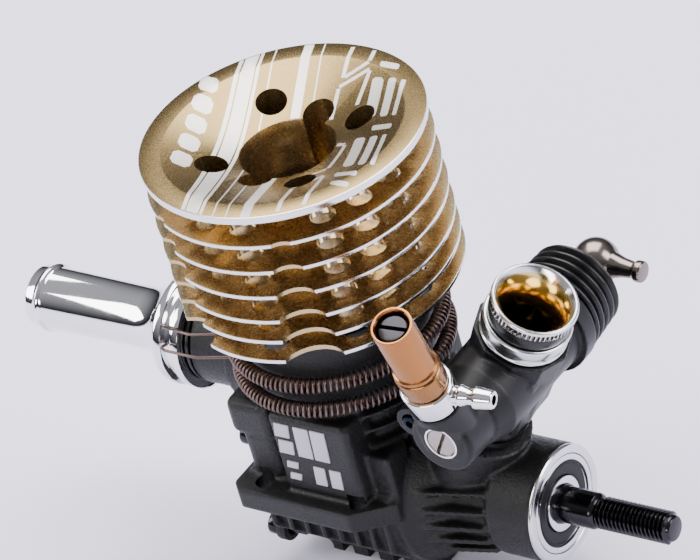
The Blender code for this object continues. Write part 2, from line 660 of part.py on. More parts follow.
def needle_parts():
    """Banjo with its nipple, needle housing, guard tube and the needle itself."""
    banjo = turned("fuel_banjo", ring(2.9, 4.9, 11.2, 16.6), "bright_aluminium", NEEDLE, 20)
    nipple = [(0, 12.4), (1.75, 12.4), (2.1, 8.4), (2.1, 7.4), (1.5, 6.9), (1.6, 4.0), (0, 4.0)]
    to_nipple = NEEDLE @ Matrix.Translation((0, 0, 13.9)) @ Matrix.Rotation(math.radians(90), 4, "Y")
    combine(banjo, [turned("nipple_stem", nipple, "steel", to_nipple, 12)], "UNION")
    combine(banjo, [turned("cut_nipple_bore", rod(1.0, 3.4, 13.0), "steel", to_nipple, 8)], "DIFFERENCE")
    turned(
        "needle_housing",
        [(4.4, 22.0), (4.4, 16.9), (2.6, 16.9), (2.6, 11.3), (1.6, 11.3), (1.6, 22.0)],
        "copper",
        NEEDLE,
        18,
    )
    turned(
        "needle_guard",
        [(3.8, 36.7), (3.8, 23.2), (4.2, 23.0), (4.2, 22.3), (3.1, 22.3), (3.1, 36.2)],
        "copper",
        NEEDLE,
        20,
    )
    needle = [(0, 35.9), (2.7, 35.9), (2.7, 27.9), (1.3, 27.4), (1.3, 9.0), (0.4, 5.0), (0, 4.8)]
    screw = turned("main_needle", needle, "black_steel", NEEDLE, 14)
    slot = boxed("cut_needle_slot", (-4, -0.4, 34.8), (4, 0.4, 37.0), "steel", 0.0, NEEDLE)
    combine(screw, [slot], "DIFFERENCE")


# ---------------------------------------------------------------- exhaust


def exhaust():
    """Gasket, short header pipe and the two retaining springs."""
    axis = along((-1, 0, 0), (0, 0, CRANK_Z + PORT_Z))
    turned("exhaust_gasket", ring(6.2, 9.4, 31.3, 32.1), "rubber", axis, 20)
    tube = HEADER_TUBE_R
    header = [
        (9.6, 32.4), (11.2, 32.6), (11.2, 34.4), (10.0, 34.8), (10.0, 36.4), (11.2, 36.8), (11.2, 38.6), (9.0, 39.2),
        (7.4, 42.5), (tube, 46.0), (tube, 70.0), (tube + 0.6, 71.0), (tube, 72.0), (tube, HEADER_LENGTH),
        (tube - 0.9, HEADER_LENGTH), (tube - 0.9, 40.0), (6.4, 38.0), (6.4, 32.4),
    ]
    turned("exhaust_header", header, "bright_aluminium", axis, 22)


def spring_path(level):
    """Points from one hook, round the front of the tower, to the other hook, with a radius for each."""
    middle = SPRING_RING_R
    half = math.radians(150)
    count = 26
    arc = []
    for index in range(count + 1):
        angle = -half + 2 * half * index / count
        arc.append((Vector((middle * math.cos(angle), middle * math.sin(angle), level)), 1.0))
    thin = SPRING_WIRE_R / SPRING_COIL_R
    hook = []
    for x, y in ((-19.6, -10.6), (-26.0, -12.6), (-35.2, -12.9), (-35.6, -12.2)):
        hook.append((Vector((x, y, level)), thin))
    other = [(Vector((p.x, -p.y, p.z)), r) for p, r in hook]
    return hook[::-1] + arc + other


def exhaust_springs():
    """Each spring as the plain outer shape of its coil, with a wire tail to the header."""
    for name, level in zip(("exhaust_spring_upper", "exhaust_spring_lower"), SPRING_Z):
        curve = bpy.data.curves.new(name, "CURVE")
        curve.dimensions = "3D"
        curve.bevel_depth = SPRING_COIL_R * MM
        curve.bevel_resolution = 1
        curve.use_fill_caps = True
        spline = curve.splines.new("POLY")
        path = spring_path(CRANK_Z + level)
        spline.points.add(len(path) - 1)
        for point, (place, scale) in zip(spline.points, path):
            point.co = (*(place * MM), 1.0)
            point.radius = scale
        curve.materials.append(finish("spring_steel"))
        obj = bpy.data.objects.new(name, curve)
        bpy.context.scene.collection.objects.link(obj)


def main():
    """Clear the scene and build every piece."""
    for obj in list(bpy.data.objects):
        bpy.data.objects.remove(obj, do_unlink=True)
    crankcase()
    backplate()
    cylinder_parts()
    cooling_head()
    head_parts()
    crankshaft()
    bearings()
    carburettor()
    exhaust()
    exhaust_springs()


main()
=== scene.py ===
"""Rear-exhaust model glow engine: its fine surfaces and finishes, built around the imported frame.

Lengths are in millimetres until a mesh is finished, and then in metres. The origin is on the flat base of
the case, under the cylinder axis; +X is the output end, +Z the cylinder axis, -Y the mixture screw's side.
"""

from __future__ import annotations

import json
import logging
import math
from collections.abc import Sequence
from dataclasses import dataclass, field
from enum import Enum

import bmesh
import bpy
from mathutils import Matrix, Vector

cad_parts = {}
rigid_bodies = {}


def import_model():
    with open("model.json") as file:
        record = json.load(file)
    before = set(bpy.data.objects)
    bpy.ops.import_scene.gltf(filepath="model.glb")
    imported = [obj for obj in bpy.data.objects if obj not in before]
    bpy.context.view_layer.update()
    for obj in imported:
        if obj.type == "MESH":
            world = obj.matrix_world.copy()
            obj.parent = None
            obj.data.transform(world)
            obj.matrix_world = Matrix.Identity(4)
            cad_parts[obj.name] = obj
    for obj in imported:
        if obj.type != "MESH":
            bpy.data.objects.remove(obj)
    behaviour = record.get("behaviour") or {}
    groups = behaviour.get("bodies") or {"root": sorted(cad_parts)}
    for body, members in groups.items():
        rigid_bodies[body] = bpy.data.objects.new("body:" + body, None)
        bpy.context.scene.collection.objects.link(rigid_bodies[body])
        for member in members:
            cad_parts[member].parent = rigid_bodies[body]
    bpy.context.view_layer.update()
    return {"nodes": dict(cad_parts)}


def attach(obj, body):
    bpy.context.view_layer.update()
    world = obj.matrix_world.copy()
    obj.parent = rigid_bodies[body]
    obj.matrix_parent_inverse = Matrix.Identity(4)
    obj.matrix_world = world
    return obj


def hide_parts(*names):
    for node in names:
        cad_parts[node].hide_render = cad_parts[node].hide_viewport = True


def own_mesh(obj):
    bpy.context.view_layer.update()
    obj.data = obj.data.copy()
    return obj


LOG = logging.getLogger("glow_engine")
MM = 0.001
CRANK_Z = 17.5
CORNER_ANGLES = (45, 135, 225, 315)
HEXAGON = 6
HEAD_BOLT_CIRCLE = 14.1

Outline = Sequence[tuple[float, float]]


class Body(str, Enum):
    """Bodies of the frame that pieces ride on."""

    BLOCK = "engine_block"
    CRANK = "crank"
    SLIDE = "throttle_slide_body"
    NEEDLE = "main_needle_body"
    MIXTURE = "mixture_screw_body"
    IDLE = "idle_screw_body"


# ---------------------------------------------------------------- places


def along(direction: Sequence[float], origin: Sequence[float], toward: Sequence[float] = (0, 0, 1)) -> Matrix:
    """Lay local Z along a direction.

    Args:
        direction: where local Z points.
        origin: the local origin, in mm.
        toward: a hint for local X.

    Returns:
        The placement matrix, in mm.
    """
    z_axis = Vector(direction).normalized()
    hint = Vector(toward)
    if abs(z_axis.dot(hint.normalized())) > 0.99:
        hint = Vector((1.0, 0.0, 0.0))
    y_axis = z_axis.cross(hint).normalized()
    matrix = Matrix((y_axis.cross(z_axis), y_axis, z_axis)).transposed().to_4x4()
    matrix.translation = Vector(origin)
    return matrix


CARB_CENTRE = (38.1, 0.0, CRANK_Z + 32.9)
UPRIGHT = Matrix.Translation((0, 0, CRANK_Z))
CRANK_AXIS = along((1, 0, 0), (0, 0, CRANK_Z))
PORT_AXIS = along((-1, 0, 0), (0, 0, CRANK_Z + 24.5))
THROAT = Matrix.Translation(CARB_CENTRE) @ Matrix.Rotation(math.radians(30), 4, "Y")
BARREL = along((0, 1, 0), CARB_CENTRE)
NEEDLE_LINE = along((0.11, -0.344, 0.932), (CARB_CENTRE[0], -20.1, CARB_CENTRE[2]), (0.986, 0.155, -0.059))
IDLE_LINE = along((0, 1, 0), (29.9, 0, CRANK_Z + 33.5))
CROSSWISE = Matrix(((0, 0, 1, 0), (1, 0, 0, 0), (0, 1, 0, 0), (0, 0, 0, 1)))
CLAMP_LINE = along((0, 1, 0), THROAT @ Vector((-7.4, 0, -20.6)))


def polar(radius: float, degrees: float) -> tuple[float, float]:
    """Point on a circle about the local axis."""
    return radius * math.cos(math.radians(degrees)), radius * math.sin(math.radians(degrees))


# ---------------------------------------------------------------- finishes


def linear(code: str) -> tuple[float, float, float, float]:
    """Turn an sRGB hex colour into linear RGBA."""
    parts = [int(code[i : i + 2], 16) / 255 for i in (1, 3, 5)]
    return (*[c / 12.92 if c <= 0.04045 else ((c + 0.055) / 1.055) ** 2.4 for c in parts], 1.0)


def add_node(tree: bpy.types.NodeTree, kind: str, settings: dict | None = None, links: dict | None = None):
    """Add one shader node.

    Args:
        tree: the material's node tree.
        kind: the node's type name.
        settings: input names or numbers, or attributes, and their values.
        links: input names or numbers, and the output sockets that feed them.

    Returns:
        The new node.
    """
    node = tree.nodes.new(kind)
    for key, value in (settings or {}).items():
        if isinstance(key, int) or key in node.inputs:
            node.inputs[key].default_value = value
        else:
            setattr(node, key, value)
    for key, socket in (links or {}).items():
        tree.links.new(socket, node.inputs[key])
    return node


@dataclass(frozen=True)
class Finish:
    """One real surface: its colours, its gloss, and the size of its grain and tool marks."""

    name: str
    slot: str
    colour: str
    tint: str
    metallic: float
    roughness: float
    spread: float = 0.05
    grain_mm: float = 0.4
    height_mm: float = 0.004
    marks_mm: float = 0.0
    marks_height_mm: float = 0.003
    ior: float = 1.5

    def material(self, axis: Matrix | None = None, label: str = "") -> bpy.types.Material:
        """Build the material once for each axis.

        Args:
            axis: the turning axis that tool marks follow, in mm.
            label: a word for that axis, part of the material's name.

        Returns:
            The material.
        """
        name = f"{self.name}_{label}" if label else self.name
        if name in bpy.data.materials:
            return bpy.data.materials[name]
        material = bpy.data.materials.new(name)
        material.use_nodes = True
        tree = material.node_tree
        shader = tree.nodes["Principled BSDF"]
        shader.inputs["Metallic"].default_value = self.metallic
        shader.inputs["IOR"].default_value = self.ior
        place = axis or Matrix.Identity(4)
        coordinates = add_node(tree, "ShaderNodeTexCoord")
        to_mm = {
            "vector_type": "TEXTURE", "Location": place.translation * MM, "Rotation": place.to_euler(),
            "Scale": (MM, MM, MM),
        }
        in_mm = add_node(tree, "ShaderNodeMapping", to_mm, {"Vector": coordinates.outputs["Object"]})
        point = in_mm.outputs["Vector"]
        fine = {"Scale": 1 / self.grain_mm, "Detail": 3.0, "Roughness": 0.6}
        grain = add_node(tree, "ShaderNodeTexNoise", fine, {"Vector": point})
        cloud = add_node(tree, "ShaderNodeTexNoise", {"Scale": 0.16, "Detail": 2.0}, {"Vector": point})
        colours = {"data_type": "RGBA", 6: linear(self.colour), 7: linear(self.tint)}
        blend = add_node(tree, "ShaderNodeMix", colours, {0: cloud.outputs["Fac"]})
        tree.links.new(blend.outputs[2], shader.inputs["Base Color"])
        span = {
            "From Min": 0.3, "From Max": 0.7, "To Min": max(0.02, self.roughness - self.spread),
            "To Max": self.roughness + self.spread,
        }
        gloss = add_node(tree, "ShaderNodeMapRange", span, {"Value": grain.outputs["Fac"]})
        tree.links.new(gloss.outputs["Result"], shader.inputs["Roughness"])
        relief = {"Strength": 1.0, "Distance": self.height_mm * MM}
        bump = add_node(tree, "ShaderNodeBump", relief, {"Height": grain.outputs["Fac"]})
        if self.marks_mm:
            flatten = {"operation": "MULTIPLY", 1: (1.0, 1.0, 0.0)}
            flat = add_node(tree, "ShaderNodeVectorMath", flatten, {0: point})
            radius = add_node(tree, "ShaderNodeVectorMath", {"operation": "LENGTH"}, {0: flat.outputs[0]})
            parts = add_node(tree, "ShaderNodeSeparateXYZ", {}, {0: point})
            sockets = {"X": radius.outputs["Value"], "Z": parts.outputs["Z"]}
            turned = add_node(tree, "ShaderNodeCombineXYZ", {}, sockets)
            lines = {"Scale": 1 / self.marks_mm, "Detail": 1.0}
            marks = add_node(tree, "ShaderNodeTexNoise", lines, {"Vector": turned.outputs["Vector"]})
            relief = {"Strength": 1.0, "Distance": self.marks_height_mm * MM}
            sockets = {"Height": marks.outputs["Fac"], "Normal": bump.outputs["Normal"]}
            bump = add_node(tree, "ShaderNodeBump", relief, sockets)
        tree.links.new(bump.outputs["Normal"], shader.inputs["Normal"])
        return material


# Sand-cast aluminium under baked matt black: a coarse grain that catches the light in specks.
CAST = Finish(
    "cast_black_aluminium", "cast_black", "#0a0a0b", "#131314", 0.0, 0.46, 0.14, 0.5, 0.14, ior=1.36
)
# Glass-filled nylon, moulded: a dark, even satin with a very fine grain.
NYLON = Finish("moulded_black_nylon", "composite", "#08080a", "#0c0c0e", 0.0, 0.4, 0.06, 0.3, 0.012, ior=1.32)
# Blasted and anodised aluminium: soft champagne gold with a fine frosted grain.
GOLD_FROSTED = Finish(
    "frosted_gold_anodising", "gold_anodised", "#867049", "#8f7951", 1.0, 0.27, 0.06, 0.24, 0.02
)
# Turned and anodised aluminium: clear gold that mirrors along the tool marks.
GOLD_TURNED = Finish(
    "turned_gold_anodising", "gold_anodised", "#b6a077", "#bca780", 1.0, 0.27, 0.02, 0.8, 0.0005, 0.35, 0.002
)
# Diamond-cut bare aluminium: near-mirror, cool and bright.
CUT_EDGE = Finish(
    "diamond_cut_aluminium", "bright_aluminium", "#ecebea", "#dfdedd", 1.0, 0.16, 0.04, 0.4, 0.002
)
# Laser-etched oxide: pale matt silver.
ETCHED = Finish("etched_silver", "bright_aluminium", "#dad6d0", "#cfcbc6", 1.0, 0.48, 0.05, 0.2, 0.008)
# Machined aluminium: bright, with fine lathe lines.
MACHINED = Finish(
    "machined_aluminium", "bright_aluminium", "#dededf", "#cfcfd2", 1.0, 0.2, 0.05, 0.8, 0.001, 0.35, 0.003
)
# Buffed aluminium: a clear mirror with faint haze.
POLISHED = Finish("buffed_aluminium", "polished_aluminium", "#ececee", "#e2e2e6", 1.0, 0.07, 0.03, 2.0, 0.001)
# Blackened and ground steel: dark and glossy.
BLACK_STEEL = Finish(
    "blackened_steel", "black_steel", "#2e2c2f", "#363437", 1.0, 0.16, 0.04, 0.8, 0.001, 0.4, 0.002
)
# Ground bearing steel: white and mirror-like.
BEARING = Finish("ground_bearing_steel", "bearing_steel", "#dfdfe2", "#d2d2d6", 1.0, 0.13, 0.03, 0.5, 0.001)
# Nitrile shield of a sealed bearing: dark grey satin.
SEAL = Finish("bearing_seal_nitrile", "rubber", "#101012", "#141417", 0.0, 0.5, 0.05, 0.3, 0.006, ior=1.3)
# Nickel-plated steel: warm grey mirror.
NICKEL = Finish("black_nickel_plate", "nickel_steel", "#736a64", "#7d746d", 1.0, 0.22, 0.04, 0.6, 0.002)
# Oil-tempered spring wire: dull brown bronze.
SPRING = Finish("oil_tempered_wire", "spring_steel", "#6f5d57", "#5b4b47", 1.0, 0.36, 0.08, 0.4, 0.003)
# Bored brass-gold anodising: a mirror inside the intake.
BRASS = Finish(
    "bored_brass", "brass", "#dcc48a", "#d3b977", 1.0, 0.12, 0.03, 0.9, 0.001, 0.5, 0.002
)
# Rose-gold anodising: pink copper, satin.
ROSE = Finish(
    "rose_gold_anodising", "copper_anodised", "#a06b3f", "#946136", 1.0, 0.22, 0.04, 0.8, 0.001, 0.3, 0.003
)
# Oxidised bronze: darker and browner.
BRONZE = Finish(
    "oxidised_bronze", "copper_anodised", "#96683c", "#865b34", 1.0, 0.25, 0.05, 0.8, 0.002, 0.3, 0.004
)
# Annealed copper sheet: soft pink metal.
COPPER = Finish("annealed_copper", "copper_sheet", "#c07c58", "#b06e4b", 1.0, 0.34, 0.06, 0.5, 0.004)
# Moulded silicone rubber: black with a soft shine.
RUBBER = Finish("moulded_rubber", "rubber", "#08080a", "#0c0c0e", 0.0, 0.3, 0.05, 0.3, 0.008, ior=1.4)
# Blued steel: dark blue-black, glossy.
BLUED = Finish("blued_steel", "black_steel", "#141c29", "#101722", 1.0, 0.24, 0.05, 0.4, 0.002)
# Pad-printed paint: pale grey, flat.
PRINT = Finish("pale_paint", "bright_aluminium", "#b5b2bb", "#aaa7b0", 0.1, 0.5, 0.06, 0.3, 0.01)
# Ground steel with a faint warm tone, left by its heat treatment.
MIXTURE_FACE = Finish("ground_screw_face", "black_steel", "#a59d98", "#958d88", 1.0, 0.34, 0.05, 0.3, 0.004)
# Heat-treated alloy forging of rod and piston: plain, slightly dull.
FORGED = Finish("forged_alloy", "bright_aluminium", "#b9b9bd", "#a9a9ad", 1.0, 0.35, 0.08, 0.5, 0.006)


# ---------------------------------------------------------------- shaping


def rounded(outline: Outline, radius: float, closed: bool, steps: int = 2) -> list[Vector]:
    """Round the corners of an outline.

    Args:
        outline: its corners.
        radius: how far a rounding reaches along each side, in mm.
        closed: whether the last corner joins the first.
        steps: how many short sides make one rounding.

    Returns:
        The rounded outline's points.
    """
    corners = [Vector(point) for point in outline]
    result: list[Vector] = []
    for index, corner in enumerate(corners):
        if not closed and index in (0, len(corners) - 1):
            result.append(corner)
            continue
        before = corners[index - 1] - corner
        after = corners[(index + 1) % len(corners)] - corner
        reach = min(radius, before.length * 0.45, after.length * 0.45)
        if reach < 1e-3 or before.angle(after) > math.radians(168):
            result.append(corner)
            continue
        start = corner + before.normalized() * reach
        end = corner + after.normalized() * reach
        for step in range(steps + 1):
            t = step / steps
            result.append((1 - t) ** 2 * start + 2 * t * (1 - t) * corner + t * t * end)
    return result


def spun(outline: Outline, steps: int = 72, edge: float = 0.12) -> bmesh.types.BMesh:
    """Spin (radius, height) points about Z.

    Args:
        outline: a ring's closed outline, or one that starts and ends on the axis.
        steps: facets round the piece.
        edge: rounding of its corners, in mm.

    Returns:
        The turned solid.
    """
    closed = min(radius for radius, _ in outline) > 0.0
    points = rounded(outline, edge, closed)
    bm = bmesh.new()
    verts = [bm.verts.new((point.x, 0.0, point.y)) for point in points]
    edges = [bm.edges.new(pair) for pair in zip(verts, verts[1:])]
    if closed:
        edges.append(bm.edges.new((verts[-1], verts[0])))
    bmesh.ops.spin(
        bm, geom=verts + edges, cent=(0, 0, 0), axis=(0, 0, 1), angle=2 * math.pi, steps=steps, use_merge=True
    )
    bmesh.ops.remove_doubles(bm, verts=bm.verts, dist=1e-4)
    bmesh.ops.recalc_face_normals(bm, faces=bm.faces)
    return bm


def bar(radius: float, low: float, high: float) -> Outline:
    """Outline of a plain round bar."""
    return [(0, high), (radius, high), (radius, low), (0, low)]


def ring(inner: float, outer: float, low: float, high: float) -> Outline:
    """Outline of a plain ring."""
    return [(outer, high), (outer, low), (inner, low), (inner, high)]


def block(low: Sequence[float], high: Sequence[float], bevel: float = 0.0) -> bmesh.types.BMesh:
    """A block between two corners, with its edges bevelled by so many mm."""
    bm = bmesh.new()
    bmesh.ops.create_cube(bm, size=1.0)
    size = [b - a for a, b in zip(low, high)]
    middle = [(a + b) / 2 for a, b in zip(low, high)]
    bmesh.ops.transform(bm, matrix=Matrix.Translation(middle) @ Matrix.Diagonal((*size, 1.0)), verts=bm.verts)
    if bevel:
        bmesh.ops.bevel(
            bm, geom=bm.edges[:], offset=bevel, segments=2, profile=0.5, material=-1, affect="EDGES",
            clamp_overlap=True,
        )
    return bm


def flank(
    side: int, x: tuple[float, float], y: tuple[float, float], z: tuple[float, float], bevel: float = 0.0
) -> bmesh.types.BMesh:
    """A block on one side of the middle plane, its y span given for the +Y side."""
    low, high = sorted((side * y[0], side * y[1]))
    return block((x[0], low, z[0]), (x[1], high, z[1]), bevel)


def plate(outline: Outline, low: float, high: float) -> bmesh.types.BMesh:
    """Extrude a flat (x, y) outline from one height to another."""
    bm = bmesh.new()
    base = bm.faces.new([bm.verts.new((x, y, low)) for x, y in outline])
    lifted = bmesh.ops.extrude_face_region(bm, geom=[base])
    verts = [item for item in lifted["geom"] if isinstance(item, bmesh.types.BMVert)]
    bmesh.ops.translate(bm, verts=verts, vec=(0, 0, high - low))
    bmesh.ops.recalc_face_normals(bm, faces=bm.faces)
    return bm


def moved(bm: bmesh.types.BMesh, matrix: Matrix) -> bmesh.types.BMesh:
    """Place a shape and hand it back."""
    bmesh.ops.transform(bm, matrix=matrix, verts=bm.verts)
    return bm


def gathered(shapes: Sequence[bmesh.types.BMesh], material: int | None = 0) -> bmesh.types.BMesh:
    """Put several shapes in one bmesh, on one material number, or with None each face on its own."""
    whole = bmesh.new()
    for shape in shapes:
        mesh = bpy.data.meshes.new("part")
        shape.to_mesh(mesh)
        shape.free()
        whole.from_mesh(mesh)
        bpy.data.meshes.remove(mesh)
    if material is not None:
        for face in whole.faces:
            face.material_index = material
    return whole


def rod(radius: float, low: float, high: float, steps: int, place: Matrix) -> bmesh.types.BMesh:
    """A plain round bar with sharp ends, laid on its own axis."""
    return moved(spun(bar(radius, low, high), steps, 0), place)


def pins(places: Sequence[tuple[float, float]], radius: float, low: float, high: float, steps: int = 32):
    """Upright round pins at several places, in one bmesh."""
    return gathered([rod(radius, low, high, steps, Matrix.Translation((x, y, 0))) for x, y in places])


def as_object(name: str, bm: bmesh.types.BMesh, materials: Sequence[bpy.types.Material] = ()):
    """Turn a bmesh in millimetres into a linked object."""
    mesh = bpy.data.meshes.new(name)
    bm.to_mesh(mesh)
    bm.free()
    for material in materials:
        mesh.materials.append(material)
    obj = bpy.data.objects.new(name, mesh)
    bpy.context.scene.collection.objects.link(obj)
    return obj


def taken(obj: bpy.types.Object) -> bmesh.types.BMesh:
    """Take an object's shape back and drop the object."""
    bm = bmesh.new()
    bm.from_mesh(obj.data)
    bpy.data.objects.remove(obj)
    return bm


def settled(obj: bpy.types.Object) -> bpy.types.Object:
    """Apply an object's modifiers to its mesh."""
    bpy.context.view_layer.update()
    graph = bpy.context.evaluated_depsgraph_get()
    mesh = bpy.data.meshes.new_from_object(obj.evaluated_get(graph))
    old = obj.data
    obj.modifiers.clear()
    obj.data = mesh
    bpy.data.meshes.remove(old)
    return obj


def worked(
    obj: bpy.types.Object, tool: bmesh.types.BMesh, operation: str = "DIFFERENCE", overlapping: bool = False
) -> bpy.types.Object:
    """Cut, join or keep by a tool shape.

    Args:
        obj: the workpiece, in millimetres.
        tool: the shape that works on it.
        operation: the Boolean's operation.
        overlapping: whether the tool's own shapes cross one another.

    Returns:
        The workpiece.
    """
    helper = as_object("tool", tool, list(obj.data.materials))
    modifier = obj.modifiers.new("work", "BOOLEAN")
    modifier.operation = operation
    modifier.solver = "EXACT"
    modifier.use_self = overlapping
    modifier.object = helper
    settled(obj)
    bpy.data.objects.remove(helper)
    return obj


def cast(obj: bpy.types.Object, voxel: float, passes: int = 2) -> bpy.types.Object:
    """Melt overlapping shapes into one casting with rounded inner and outer corners."""
    remesh = obj.modifiers.new("melt", "REMESH")
    remesh.mode = "VOXEL"
    remesh.voxel_size = voxel
    smooth = obj.modifiers.new("round", "SMOOTH")
    smooth.factor = 0.5
    smooth.iterations = passes
    return settled(obj)


def finished(obj: bpy.types.Object, body: Body, slot: str, *nodes: str, angle: float = 38.0):
    """Bring a piece to metres, shade it, and hang it on the frame.

    Args:
        obj: the piece, in millimetres.
        body: the body that it rides on.
        slot: the record's material slot that the piece belongs to; not used.
        nodes: the plain nodes that it stands for.
        angle: edges sharper than this stay crisp, in degrees.

    Returns:
        The piece.
    """
    obj.data.transform(Matrix.Scale(MM, 4))
    obj.data.shade_smooth()
    obj.data.set_sharp_from_angle(angle=math.radians(angle))
    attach(obj, body.value)
    if nodes:
        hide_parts(*nodes)
    LOG.info("%s: %d faces, rides on %s", obj.name, len(obj.data.polygons), body.value)
    return obj


@dataclass(frozen=True)
class Turning:
    """A piece that is wholly turned: what to spin, where, and what it stands for."""

    name: str
    outline: Outline
    finish: Finish
    axis: Matrix
    label: str
    body: Body = Body.BLOCK
    nodes: tuple[str, ...] = ()
    steps: int = 72
    edge: float = 0.12

    def make(self) -> bpy.types.Object:
        """Spin the piece, place it and hang it on the frame."""
        bm = moved(spun(self.outline, self.steps, self.edge), self.axis)
        piece = as_object(self.name, bm, [self.finish.material(self.axis, self.label)])
        return finished(piece, self.body, self.finish.slot, *self.nodes)


def socket_screw(
    name: str,
    outline: Outline,
    socket: tuple[float, float, float],
    place: Matrix,
    finish: Finish = BLACK_STEEL,
    steps: int = 40,
    edge: float = 0.2,
) -> bpy.types.Object:
    """A turned screw with a hexagon socket.

    Args:
        name: the piece's name.
        outline: what to spin.
        socket: radius, low and high end of the hexagon, in mm.
        place: where it goes.
        finish: its surface.
        steps: facets round the piece.
        edge: rounding of its corners, in mm.

    Returns:
        The placed screw, still in millimetres.
    """
    screw = as_object(name, spun(outline, steps, edge), [finish.material()])
    worked(screw, spun(bar(*socket), HEXAGON, 0))
    screw.data.transform(place)
    return screw


# ---------------------------------------------------------------- sub-assemblies


